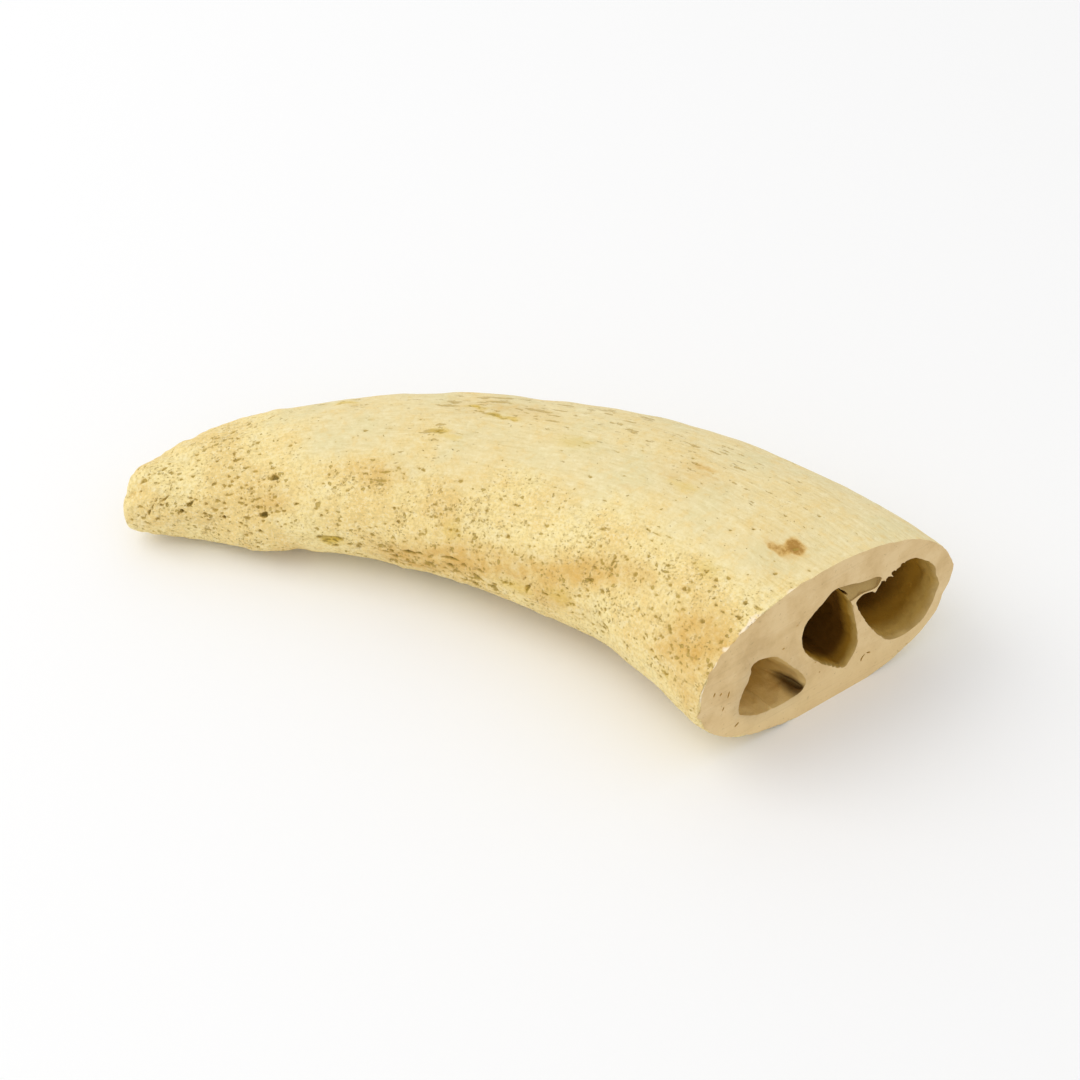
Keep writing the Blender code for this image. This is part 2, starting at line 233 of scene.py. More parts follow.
@dataclass
class HornForm:
    """The worn outer form, in mm from the middle of the sawn face, as the solid has it."""

    cut_place: tuple[float, float] = (75.3, 32.9)
    stations: tuple[Station, ...] = (
        Station(0.0, 0.3, 37.6, 46.0),
        Station(12.0, -0.6, 37.1, 45.0),
        Station(26.0, -2.2, 35.8, 43.4),
        Station(45.5, -6.0, 33.7, 40.8),
        Station(70.5, -16.7, 31.4, 37.6),
        Station(97.0, -33.8, 27.8, 33.8),
        Station(119.0, -56.8, 21.8, 29.8),
        Station(134.0, -77.4, 17.6, 24.4),
        Station(141.8, -103.5, 6.5, 22.5),
    )
    swellings: tuple[Patch, ...] = rows(
        Patch,
        (181.0, 58.0, 5.0, 6.0, 1.0), (186.0, 110.0, 4.0, 5.0, -0.7), (187.0, 200.0, 5.0, 5.0, 0.6),
        (176.0, 202.0, 7.0, 6.0, -1.3), (155.0, 213.0, 6.0, 7.0, 0.6), (143.0, 207.0, 3.5, 5.0, -0.9),
        (128.0, 204.0, 9.0, 8.0, -0.6), (5.0, 188.0, 8.0, 9.0, 0.3), (2.0, 349.0, 3.0, 3.5, -1.6),
        (0.0, 8.0, 3.0, 3.0, 0.4),
    )
    widest_at: float = 0.49
    crown_fullness: float = 2.0
    belly_fullness: float = 2.25
    roll_at_cut: float = math.radians(-3.5)
    tip_starts: float = 0.85
    tip_bluntness: float = 2.8
    lump_size: float = 26.0
    lump_height: float = 0.6
    ripple_size: float = 9.0
    ripple_height: float = 0.4
    tip_wear_size: float = 6.5
    tip_wear_height: float = 1.3
    tip_wear_loss: float = 0.3
    tip_wear_from: float = 0.80
    cut_calm: float = 7.0
    end_calm: float = 0.5
    rest_depth: float = 0.45
    swelling_reach_share: float = 0.8
    knots: Array = field(init=False)
    values: Array = field(init=False)

    def __post_init__(self) -> None:
        """Works out the distances of the stations along the horn."""
        self.values = np.array([(-s.back, s.across, s.half_width, s.height) for s in self.stations])
        steps = np.linalg.norm(np.diff(self.values[:, :2], axis=0), axis=1)
        self.knots = np.concatenate([[0.0], np.cumsum(steps)])

    @property
    def length(self) -> float:
        """Length of the horn's centre line in mm."""
        return float(self.knots[-1])

    def section(self, along: Array) -> dict[str, Array]:
        """The section at some distances along the horn.

        Args:
            along: Distances in mm, in an array of any shape.

        Returns:
            The section's centre, forward and outward in plan, half width, height and how far
            it is closed by the tip.
        """
        flat = along.ravel()
        shape = along.shape
        plan = self.values[:, :2]
        ahead = hermite(self.knots, plan, np.minimum(flat + 0.5, self.length))
        forward = ahead - hermite(self.knots, plan, np.maximum(flat - 0.5, 0.0))
        forward /= np.linalg.norm(forward, axis=1)[:, None]
        forward[flat < 1e-6] = (-1.0, 0.0)
        size = hermite(self.knots, self.values[:, 2:], flat)
        share = np.clip((flat / self.length - self.tip_starts) / (1 - self.tip_starts), 0, 1)
        closing = np.clip(1 - share**self.tip_bluntness, 0, 1) ** (1 / self.tip_bluntness)
        return {
            "centre": hermite(self.knots, plan, flat).reshape(*shape, 2),
            "forward": forward.reshape(*shape, 2),
            "outward": np.stack([forward[:, 1], -forward[:, 0]], axis=1).reshape(*shape, 2),
            "half_width": size[:, 0].reshape(shape),
            "height": size[:, 1].reshape(shape),
            "closing": closing.reshape(shape),
        }

    def smooth_points(self, along: Array, around: Array) -> tuple[Array, Array]:
        """Points of the smooth horn.

        Args:
            along: Distances in mm.
            around: Angles in radians, in a shape that goes with the distances.

        Returns:
            The points, and the same points as if the horn were straight.
        """
        part = self.section(along)
        cosine, sine = np.cos(around), np.sin(around)
        fullness = np.where(sine > 0, self.crown_fullness, self.belly_fullness)
        sideways = np.sign(cosine) * np.abs(cosine) ** (2 / fullness)
        sideways = part["half_width"] * part["closing"] * sideways
        reach = np.where(sine > 0, 1 - self.widest_at, self.widest_at) * part["height"]
        upward = reach * part["closing"] * np.sign(sine) * np.abs(sine) ** (2 / fullness)
        roll = self.roll_at_cut * (1 - along / self.length)
        rolled = sideways * np.cos(roll) - upward * np.sin(roll)
        points = np.empty((*rolled.shape, 3))
        points[..., :2] = part["centre"] + part["outward"] * rolled[..., None]
        lift = sideways * np.sin(roll) + upward * np.cos(roll)
        points[..., 2] = self.widest_at * part["height"] + lift
        straight = np.stack([np.broadcast_to(along, rolled.shape), rolled, lift], axis=-1)
        return points, straight

    def normals(self, along: Array, around: Array) -> Array:
        """Outward normals of the smooth horn.

        Args:
            along: Distances in mm.
            around: Angles in radians.

        Returns:
            One unit vector for each point.
        """
        step, turn = 0.6, 0.02
        inside = np.minimum(along, self.length - step)
        ahead = self.smooth_points(inside + step, around)[0] - self.smooth_points(inside, around)[0]
        across = self.smooth_points(inside, around + turn)[0]
        across = across - self.smooth_points(inside, around - turn)[0]
        found = np.cross(ahead, across)
        return found / np.maximum(np.linalg.norm(found, axis=-1), 1e-9)[..., None]

    def relief(self, points: Array, along: Array, around: Array) -> Array:
        """Height of the worn relief that the solid has too.

        Args:
            points: Points of the smooth horn.
            along: Their distances in mm.
            around: Their angles in radians.

        Returns:
            Heights in mm.
        """
        tip = smooth_step(self.tip_wear_from, 1.0, along / self.length)
        height = self.lump_height * bumps(points, self.lump_size, 1)
        height += self.ripple_height * bumps(points, self.ripple_size, 2)
        wear = bumps(points, self.tip_wear_size, 3) - self.tip_wear_loss
        height += tip * self.tip_wear_height * wear
        height = height * smooth_step(0.0, self.cut_calm, along)
        for one in self.swellings:
            height = height + one.amount * np.exp(-self.away(one, along, around))
        return height * self.calm(along)

    def calm(self, along: Array) -> Array:
        """How far relief is let stand: 0 at the very tip, 1 elsewhere."""
        return smooth_step(0.0, self.end_calm, self.section(along)["closing"])

    def away(self, patch: Patch, along: Array, around: Array) -> Array:
        """How far places are from a patch, as a share of its reach, squared.

        Args:
            patch: The patch.
            along: Distances in mm.
            around: Angles in radians.

        Returns:
            Numbers from 0 up.
        """
        turn = np.remainder(around - math.radians(patch.angle) + math.pi, 2 * math.pi) - math.pi
        aside = turn * self.section(along)["half_width"] * self.swelling_reach_share
        return ((along - patch.along) / patch.reach_along) ** 2 + (aside / patch.reach_round) ** 2

    def settle(self, points: Array) -> Array:
        """Moves points to the object's own place.

        Args:
            points: Points in mm from the middle of the sawn face.

        Returns:
            Points in metres, with the belly worn flat where it rests.
        """
        moved = points + (*self.cut_place, -self.rest_depth)
        moved[..., 2] = np.maximum(moved[..., 2], 0.0)
        return moved * MM


@dataclass(frozen=True)
class PoreZone:
    """A part of the surface with pores of one kind.

    Attributes:
        name: What the zone is.
        along: First and last distance along the horn in mm.
        angle: First and last angle in degrees.
        count: How many pores are tried.
        widths: Smallest and largest width in mm.
        stretch: Smallest and largest length as a share of the width.
        depth: Depth as a share of the width.
        clump: Size in mm of the clumps that the pores stand in.
    """

    name: str
    along: tuple[float, float]
    angle: tuple[float, float]
    count: int
    widths: tuple[float, float]
    stretch: tuple[float, float]
    depth: float
    clump: float


@dataclass
class PitPlan:
    """Where the holes in the surface are: the placed pits, the strewn ones and the pores."""

    placed: tuple[Pit, ...] = rows(
        Pit,
        (149.4, 127.3, 2.6, 1.6, 1.1), (152.4, 159.5, 2.4, 1.7, 1.3, 10.0),
        (175.2, 149.0, 2.8, 1.1, 0.9, 35.0), (177.6, 160.0, 1.4, 1.2, 1.0, 50.0),
        (180.5, 139.5, 2.6, 0.7, 0.6, 32.0), (181.7, 149.0, 1.0, 0.8, 0.6),
        (184.4, 161.0, 2.2, 0.8, 0.8, 62.0), (183.4, 150.0, 1.8, 0.5, 0.4, 60.0),
        (182.4, 140.0, 1.6, 0.5, 0.4, 55.0), (185.4, 171.0, 2.4, 0.5, 0.4, 70.0),
        (182.8, 171.8, 1.3, 0.9, 0.6), (188.4, 190.0, 1.2, 0.8, 0.5, 50.0), (185.5, 111.8, 0.9, 0.7, 0.4),
        (174.6, 141.0, 1.2, 0.8, 0.5), (171.9, 160.5, 1.5, 0.9, 0.6), (171.5, 170.2, 1.1, 0.7, 0.6),
        (166.7, 163.5, 1.1, 1.0, 1.0), (167.3, 144.0, 1.6, 0.7, 0.5, -20.0), (170.9, 147.8, 0.9, 0.8, 0.5),
        (163.5, 138.8, 3.0, 0.6, 0.4, 8.0), (172.4, 115.5, 1.3, 0.8, 0.4), (175.4, 115.5, 1.1, 0.7, 0.4),
        (176.6, 86.2, 1.0, 0.7, 0.4), (180.8, 111.8, 1.0, 0.6, 0.3), (165.5, 182.2, 1.1, 0.7, 0.6),
        (172.8, 202.0, 1.8, 0.8, 0.6), (153.8, 177.0, 1.2, 0.9, 0.6), (147.3, 171.8, 0.8, 0.6, 0.4),
        (146.4, 156.0, 1.4, 0.8, 0.5), (143.1, 150.0, 1.5, 0.8, 0.6, 15.0),
        (154.4, 144.0, 3.4, 0.6, 0.4, 8.0), (158.1, 149.2, 1.0, 0.8, 0.5), (157.4, 131.2, 1.2, 0.7, 0.4),
        (158.6, 96.0, 1.6, 0.6, 0.3), (160.0, 106.0, 2.6, 0.9, 0.6, 10.0), (164.2, 78.5, 2.4, 0.9, 0.6),
        (146.0, 102.0, 1.6, 0.8, 0.5), (136.8, 134.2, 1.2, 0.6, 0.4), (136.8, 159.0, 1.0, 0.8, 0.5),
        (122.0, 130.5, 4.4, 0.9, 0.4), (121.1, 124.5, 3.6, 0.8, 0.4, 8.0), (117.8, 121.0, 1.2, 0.8, 0.4),
        (112.1, 120.0, 1.2, 0.8, 0.4), (119.6, 112.5, 0.6, 0.6, 0.4), (127.8, 94.5, 1.6, 0.8, 0.5),
        (122.3, 93.0, 2.6, 0.5, 0.3), (115.1, 84.8, 1.0, 0.7, 0.4), (109.6, 94.0, 2.6, 1.1, 0.6, 10.0),
        (111.8, 97.5, 1.2, 0.7, 0.4), (104.4, 95.5, 2.6, 0.5, 0.3, -10.0), (103.6, 69.5, 4.2, 0.8, 0.5),
        (102.0, 74.0, 2.6, 0.6, 0.4), (97.3, 77.0, 4.0, 0.7, 0.5), (93.4, 79.0, 2.4, 0.6, 0.3),
        (89.0, 64.5, 3.2, 0.6, 0.4), (134.6, 60.5, 2.6, 0.8, 0.4), (80.6, 78.0, 1.8, 0.8, 0.5),
        (73.8, 87.0, 2.6, 0.5, 0.3), (65.8, 87.5, 2.8, 0.5, 0.3, -12.0),
        (67.3, 106.5, 1.7, 0.8, 0.5, -25.0), (60.4, 116.2, 1.4, 0.7, 0.4), (55.6, 129.0, 0.8, 0.7, 0.5),
        (74.2, 116.2, 1.2, 0.7, 0.3), (81.0, 149.0, 1.2, 1.0, 0.7), (43.6, 122.2, 3.2, 0.6, 0.4, -16.0),
        (40.2, 122.4, 3.4, 0.5, 0.35, -4.0), (37.0, 120.8, 2.6, 0.5, 0.3), (98.6, 154.5, 1.4, 0.7, 0.5),
        (95.6, 156.8, 1.2, 0.8, 0.5), (115.7, 156.5, 1.0, 1.0, 0.6), (123.2, 171.8, 1.8, 0.9, 0.5, -20.0),
        (134.8, 182.0, 6.4, 1.9, 0.5), (135.2, 179.4, 5.6, 0.7, 0.8), (137.6, 180.6, 1.7, 1.1, 1.1),
        (116.6, 189.0, 2.0, 1.6, 0.8), (111.8, 180.0, 4.4, 1.3, 0.9, 6.0), (108.2, 178.4, 2.4, 0.8, 0.6),
        (107.0, 193.0, 5.0, 0.9, 0.6), (97.4, 175.6, 5.2, 0.9, 0.7), (119.6, 186.0, 2.6, 0.8, 0.6),
        (113.0, 192.0, 1.8, 0.9, 0.6), (79.4, 181.5, 2.0, 0.8, 0.6, 30.0), (77.4, 180.8, 1.3, 1.1, 0.7),
        (72.2, 179.0, 1.8, 1.3, 0.9, 60.0), (73.4, 172.5, 1.3, 0.6, 0.5, 60.0),
        (66.4, 178.2, 1.6, 0.9, 0.7), (62.5, 176.0, 1.4, 0.8, 0.5), (22.8, 136.5, 1.5, 1.1, 0.8),
        (21.3, 125.2, 1.5, 1.1, 0.8), (17.4, 126.0, 1.3, 1.1, 0.8), (5.3, 132.8, 1.5, 1.1, 0.8),
        (6.8, 126.8, 1.5, 1.1, 0.8), (12.6, 134.2, 1.4, 0.9, 0.6), (9.6, 135.0, 1.3, 0.8, 0.6),
        (12.6, 143.2, 1.6, 1.1, 0.8), (15.6, 180.0, 2.2, 1.0, 0.9, 40.0), (19.5, 86.2, 1.0, 0.9, 0.8),
        (14.7, 77.2, 1.0, 0.9, 0.8), (21.3, 99.8, 1.0, 0.9, 0.8), (25.6, 105.0, 1.1, 0.8, 0.6),
        (8.0, 110.0, 1.2, 1.0, 0.8), (2.8, 101.0, 1.4, 0.7, 0.5), (10.0, 97.0, 2.0, 1.1, 0.5, 50.0),
    )
    strewn: int = 26
    strewn_seed: int = 11
    strewn_widths: tuple[float, float] = (1.5, 2.6)
    strewn_stretch: tuple[float, float] = (1.0, 2.4)
    strewn_margin: float = 7.0
    strewn_wear: float = 0.6
    strewn_depth: float = 0.4
    belly: tuple[float, float] = (235.0, 305.0)
    seen: tuple[float, float] = (60.0, 200.0)
    zones: tuple[PoreZone, ...] = (
        PoreZone("stipple", (70.0, 170.0), (118.0, 180.0), 220, (0.6, 1.0), (1.0, 2.2), 0.45, 9.0),
        PoreZone("by the cut", (1.0, 60.0), (122.0, 196.0), 330, (0.6, 1.1), (1.0, 2.2), 0.5, 10.0),
        PoreZone("inner edge", (78.0, 135.0), (176.0, 222.0), 260, (0.7, 1.5), (1.0, 2.8), 0.5, 7.0),
        PoreZone("tip", (148.0, 187.0), (0.0, 360.0), 300, (0.6, 1.1), (1.0, 2.4), 0.5, 7.0),
        PoreZone("crown", (2.0, 155.0), (-10.0, 116.0), 170, (0.5, 0.8), (1.2, 3.4), 0.4, 16.0),
        PoreZone("underside", (2.0, 160.0), (196.0, 350.0), 800, (0.7, 1.5), (1.0, 2.2), 0.45, 9.0),
    )
    pore_seed: int = 5
    pore_slant: float = 50.0

    def strewn_pits(self, form: HornForm) -> list[Pit]:
        """Larger pits, worn shallow, away from the belly and the side with the placed ones.

        Args:
            form: The horn's form.

        Returns:
            The pits.
        """
        pick = random.Random(self.strewn_seed)
        found: list[Pit] = []
        while len(found) < self.strewn:
            along = pick.uniform(self.strewn_margin, form.length - self.strewn_margin)
            angle = pick.uniform(0.0, 360.0)
            width = pick.uniform(*self.strewn_widths) * self.strewn_wear
            length = width * pick.uniform(*self.strewn_stretch)
            if self.belly[0] < angle < self.belly[1] or self.seen[0] < angle < self.seen[1]:
                continue
            found.append(Pit(along, angle, length, width, width * self.strewn_depth))
        return found

    def pores(self, form: HornForm) -> list[Pit]:
        """The fine pores, zone by zone, denser inside each zone's clumps.

        Args:
            form: The horn's form.

        Returns:
            The pores.
        """
        pick = np.random.default_rng(self.pore_seed)
        found = []
        for zone in self.zones:
            draws = pick.random((zone.count, 6))
            along = zone.along[0] + draws[:, 0] * (zone.along[1] - zone.along[0])
            angle = zone.angle[0] + draws[:, 1] * (zone.angle[1] - zone.angle[0])
            _, straight = form.smooth_points(along, np.radians(angle))
            clump = 0.5 + 0.5 * bumps(straight, zone.clump, 21)
            edge = np.minimum(draws[:, 1], 1 - draws[:, 1]) * 5
            keep = draws[:, 2] < np.clip(clump * 1.3, 0.08, 1) * np.clip(edge, 0, 1)
            width = zone.widths[0] + draws[:, 3] ** 2 * (zone.widths[1] - zone.widths[0])
            stretch = zone.stretch[0] + draws[:, 4] ** 2 * (zone.stretch[1] - zone.stretch[0])
            length = width * stretch
            slant = (draws[:, 5] - 0.5) * self.pore_slant
            drawn = np.stack([along, angle, length, width, width * zone.depth, slant], axis=1)
            found += [Pit(*row) for row in drawn[keep].tolist()]
        return found


class Stain(Enum):
    """The kinds of stain on the bone. Ochre and streaked are wide and soft, the others are small."""

    OCHRE = "ochre"
    STREAKED = "streaked"
    RUST = "rust"
    OLIVE = "olive"
    CHALK = "chalk"


@dataclass
class SkinMap:
    """What the outer bone looks like from place to place."""

    stains: Mapping[Stain, tuple[Patch, ...]] = field(default_factory=lambda: {
        Stain.OCHRE: rows(
            Patch,
            (116.0, 190.0, 10.0, 5.0, 0.9), (106.0, 185.0, 10.0, 5.5, 1.0), (97.0, 175.0, 8.0, 4.0, 0.9),
            (88.0, 169.0, 8.0, 4.0, 0.85), (78.0, 165.0, 8.0, 4.0, 0.8), (67.0, 162.0, 8.0, 4.5, 0.7),
            (56.0, 155.0, 9.0, 4.5, 0.95), (46.0, 147.0, 8.0, 4.5, 0.9), (36.0, 143.0, 8.0, 5.0, 0.7),
            (70.0, 178.0, 16.0, 4.0, 0.45), (9.0, 148.0, 8.0, 5.0, 1.0), (14.0, 160.0, 11.0, 10.0, 0.8),
            (4.0, 178.0, 6.0, 8.0, 0.6), (64.0, 180.0, 14.0, 4.0, 0.4), (122.0, 126.0, 9.0, 3.5, 0.65),
            (100.0, 145.0, 16.0, 8.0, 0.35), (150.0, 145.0, 14.0, 6.0, 0.35), (46.0, 88.0, 9.0, 4.5, 0.35),
            (10.0, 100.0, 8.0, 5.0, 0.3), (98.0, 70.0, 10.0, 3.5, 0.55), (40.0, 250.0, 26.0, 12.0, 0.5),
            (110.0, 300.0, 22.0, 9.0, 0.5),
        ),
        Stain.STREAKED: rows(
            Patch,
            (103.0, 66.0, 16.0, 7.0, 0.9), (110.0, 95.0, 7.0, 3.0, 0.8), (134.0, 58.0, 10.0, 5.0, 0.8),
            (60.0, 64.0, 24.0, 7.0, 0.95), (84.0, 60.0, 16.0, 6.0, 0.9), (32.0, 70.0, 16.0, 8.0, 0.5),
            (44.0, 90.0, 12.0, 6.0, 0.5), (40.0, 120.0, 6.0, 3.0, 0.6), (74.0, 88.0, 8.0, 4.0, 0.4),
            (165.0, 80.0, 14.0, 9.0, 0.5), (120.0, 122.0, 12.0, 5.0, 0.5), (108.0, 184.0, 16.0, 6.0, 1.0),
            (90.0, 20.0, 60.0, 10.0, 0.5),
        ),
        Stain.RUST: rows(
            Patch,
            (151.0, 147.0, 6.0, 2.5, 0.4), (10.4, 96.6, 3.4, 2.8, 1.3), (12.8, 101.4, 4.8, 1.7, 0.8),
            (45.0, 81.4, 4.2, 1.4, 0.5), (41.5, 84.6, 3.0, 1.0, 0.35), (49.0, 93.8, 3.0, 1.4, 0.3),
            (57.4, 107.3, 3.0, 1.3, 0.3), (9.0, 158.0, 3.0, 2.4, 0.5), (111.5, 182.0, 6.0, 1.8, 0.3),
            (70.0, 320.0, 6.0, 3.0, 0.5),
        ),
        Stain.OLIVE: rows(
            Patch,
            (134.2, 183.2, 4.0, 1.8, 1.3), (103.5, 70.0, 3.6, 1.1, 1.0), (96.5, 77.5, 5.4, 1.5, 0.9),
            (109.5, 94.5, 3.4, 1.6, 0.8), (106.0, 98.0, 3.0, 1.2, 0.5), (134.5, 60.5, 3.4, 1.3, 0.8),
            (76.0, 88.0, 6.0, 3.4, 0.5), (45.0, 96.0, 5.0, 2.2, 0.5), (22.0, 124.0, 4.0, 3.4, 0.4),
            (15.6, 180.0, 1.8, 1.4, 0.8), (98.0, 155.0, 5.0, 3.0, 0.4), (76.0, 181.0, 7.0, 2.0, 0.5),
            (62.0, 176.0, 6.0, 2.4, 0.5),
        ),
        Stain.CHALK: rows(
            Patch,
            (1.4, 130.0, 2.4, 2.6, 0.9), (1.0, 136.0, 2.2, 2.0, 1.0), (1.2, 146.0, 2.4, 2.2, 0.9),
            (0.8, 154.0, 2.6, 2.0, 1.0), (1.2, 163.0, 2.0, 2.0, 0.7), (1.0, 176.0, 2.4, 2.0, 0.7),
            (0.6, 112.0, 1.6, 2.4, 0.6),
        ),
    })
    crown_from: tuple[float, float] = (-22.0, 12.0)
    crown_to: tuple[float, float] = (98.0, 140.0)
    crown_ends: tuple[float, float] = (140.0, 172.0)
    crown_ragged: float = 14.0
    crown_patch: float = 14.0
    rim_from: tuple[float, float] = (95.0, 135.0)
    rim_to: tuple[float, float] = (185.0, 215.0)
    rim_reach: float = 2.8
    rim_elsewhere: float = 0.12

    def rim(self, along: Array, angle: Array) -> Array:
        """How far the surface is the chipped, whitish rim of the sawn face.

        Args:
            along: Distances along the horn in mm.
            angle: Angles in degrees, from -90 to 270.

        Returns:
            Numbers from 0 to 1.
        """
        chipped = smooth_step(*self.rim_from, angle) * (1 - smooth_step(*self.rim_to, angle))
        chipped = self.rim_elsewhere + (1 - self.rim_elsewhere) * chipped
        return chipped * (1 - smooth_step(0.0, self.rim_reach, along))

    def crown(self, along: Array, angle: Array, straight: Array) -> Array:
        """How far the surface is the smooth, pale bone of the crown.

        Args:
            along: Distances along the horn in mm.
            angle: Angles in degrees, from -90 to 270.
            straight: The points as if the horn were straight.

        Returns:
            Numbers from 0 to 1.
        """
        ragged = angle + self.crown_ragged * bumps(straight, self.crown_patch, 31)
        found = smooth_step(*self.crown_from, ragged) * (1 - smooth_step(*self.crown_to, ragged))
        return found * (1 - smooth_step(*self.crown_ends, along + ragged * 0.1))

    def spots(self, bench: "Bench", kind: Stain, form: HornForm, straight: "Signal") -> "Signal":
        """Where one kind of small stain is, drawn by the shader.

        Args:
            bench: The material's nodes.
            kind: The kind of stain.
            form: The horn's form.
            straight: Coordinates as if the horn were straight.

        Returns:
            A mask from 0 up.
        """
        total: Any = 0.0
        for one in self.stains[kind]:
            _, found = form.smooth_points(np.array([one.along]), np.radians([one.angle]))
            reach = (one.reach_along, one.reach_round, one.reach_round)
            total = bench.spot(straight, tuple(found[0]), reach) * one.amount + total
        return total

    def stain(self, kind: Stain, form: HornForm, along: Array, around: Array) -> Array:
        """How strong one kind of stain is.

        Args:
            kind: The kind of stain.
            form: The horn's form.
            along: Distances along the horn in mm.
            around: Angles in radians.

        Returns:
            Numbers from 0 to 1.
        """
        total = sum(one.amount * np.exp(-form.away(one, along, around)) for one in self.stains[kind])
        return np.clip(total, 0.0, 1.0)


@dataclass
class OuterSkin:
    """The dense outer surface, as a grid of rings along the horn."""

    form: HornForm
    pit_plan: PitPlan
    skin_map: SkinMap
    rings: int = 620
    sides: int = 480
    crowding: float = 1.15
    end_gap: float = 0.05
    cut_margin: float = 0.12
    fibre_length: float = 13.0
    fibre_width: float = 1.1
    fibre_height: float = 0.09
    flute_length: float = 34.0
    flute_width: float = 4.2
    flute_height: float = 0.16
    grain_size: float = 1.5
    grain_height: float = 0.07
    rough_size: float = 2.6
    rough_height: float = 0.22
    crown_smoothness: float = 0.75
    rough_patch: float = 11.0
    tip_rough: tuple[float, float] = (0.72, 0.95)
    chip_size: float = 1.7
    chip_height: float = 1.3
    # Depth at which a pit is painted darkest: deeper holes get more painted shade.
    darkest_depth: float = 1.3
    edge_steps: tuple[Patch, ...] = rows(
        Patch,
        (116.5, 42.0, 4.6, 6.0, -0.4), (133.6, 58.0, 3.0, 4.0, 0.5), (139.8, 58.0, 2.6, 4.0, -0.4),
        (151.0, 56.0, 2.6, 4.0, 0.4), (146.4, 56.0, 1.6, 3.0, -0.3), (163.5, 60.0, 2.2, 3.0, 0.35),
        (172.0, 61.0, 2.0, 3.0, 0.4), (175.8, 61.0, 1.8, 3.0, -0.4), (186.2, 60.0, 1.8, 2.2, 0.7),
        (188.0, 96.0, 1.0, 1.6, -0.9), (188.8, 145.0, 1.2, 2.4, 0.4),
    )
    points: Array = field(init=False)
    fields: dict[str, Array] = field(init=False)

    def __post_init__(self) -> None:
        """Works out the grid and all that is known at its points."""
        even = np.linspace(0.0, 1.0, self.rings)
        along = self.form.length * (1 - (1 - even) ** self.crowding)
        along[-1] -= self.end_gap
        turn = 2 * math.pi / self.sides
        around = np.arange(self.sides) * turn
        far, columns = along[:, None], around[None, :]
        smooth, straight = self.form.smooth_points(far, columns)
        normals = self.form.normals(far, columns)
        angle = np.degrees(columns)
        angle = np.where(angle > 270, angle - 360, angle)
        crown = self.skin_map.crown(far, angle, straight)
        stretch_along = np.linalg.norm(np.gradient(smooth, along, axis=0), axis=-1)
        around_step = np.roll(smooth, -1, axis=1) - np.roll(smooth, 1, axis=1)
        stretch_round = np.linalg.norm(around_step, axis=-1) / (2 * turn)
        pit_depth, pit_shade = self.stamp(along, around, stretch_along, stretch_round)
        height = self.form.relief(smooth, far, columns)
        calm = self.form.calm(far)
        rim = self.skin_map.rim(far, angle)
        height = height + calm * (self.fine_relief(far, smooth, straight, crown, rim) - pit_depth)
        height = height + calm * self.edge_relief(far, columns)
        points = smooth + normals * height[..., None]
        points[0, :, 0] = 0.0
        points[1:, :, 0] = np.minimum(points[1:, :, 0], -self.cut_margin)
        self.points = self.form.settle(points)
        forward = np.broadcast_to(self.form.section(far)["forward"], (*smooth.shape[:2], 2))
        self.fields = {"crown": crown, "pit": pit_shade, "rim": rim, "straight": straight}
        self.fields["forward"] = forward
        for kind in (Stain.OCHRE, Stain.STREAKED):
            self.fields[kind.value] = self.skin_map.stain(kind, self.form, far, columns)

    def edge_relief(self, along: Array, around: Array) -> Array:
        """The small steps that show along the horn's upper edge and at its tip.

        Args:
            along: Distances along the horn in mm.
            around: Angles in radians.

        Returns:
            Heights in mm.
        """
        height = np.zeros(np.broadcast(along, around).shape)
        for one in self.edge_steps:
            height = height + one.amount * np.exp(-(self.form.away(one, along, around) ** 2))
        return height

    def fine_relief(
        self, along: Array, points: Array, straight: Array, crown: Array, rim: Array
    ) -> Array:
        """Fibres, flutes and grain, rougher away from the crown and at the tip.

        Args:
            along: Distances along the horn in mm.
            points: Points of the smooth horn.
            straight: The same points as if the horn were straight.
            crown: How far each is on the smooth crown.
            rim: How far each is on the chipped rim.

        Returns:
            Heights in mm.
        """
        lengthways = straight / (self.fibre_length, self.fibre_width, self.fibre_width)
        height = self.fibre_height * bumps(lengthways, 1.0, 11)
        fluted = straight / (self.flute_length, self.flute_width, self.flute_width)
        height += self.flute_height * bumps(fluted, 1.0, 12)
        rough = 1 - self.crown_smoothness * crown
        tip = smooth_step(*self.tip_rough, along / self.form.length)
        height += rough * self.grain_height * bumps(points, self.grain_size, 13)
        patches = 0.35 + 0.65 * smooth_step(-0.2, 0.5, bumps(points, self.rough_patch, 14))
        rough = rough * patches + 0.8 * tip
        height += rough * self.rough_height * bumps(points, self.rough_size, 15)
        chips = np.minimum(bumps(points, self.chip_size, 16) - 0.1, 0.0)
        return height + self.chip_height * chips * rim

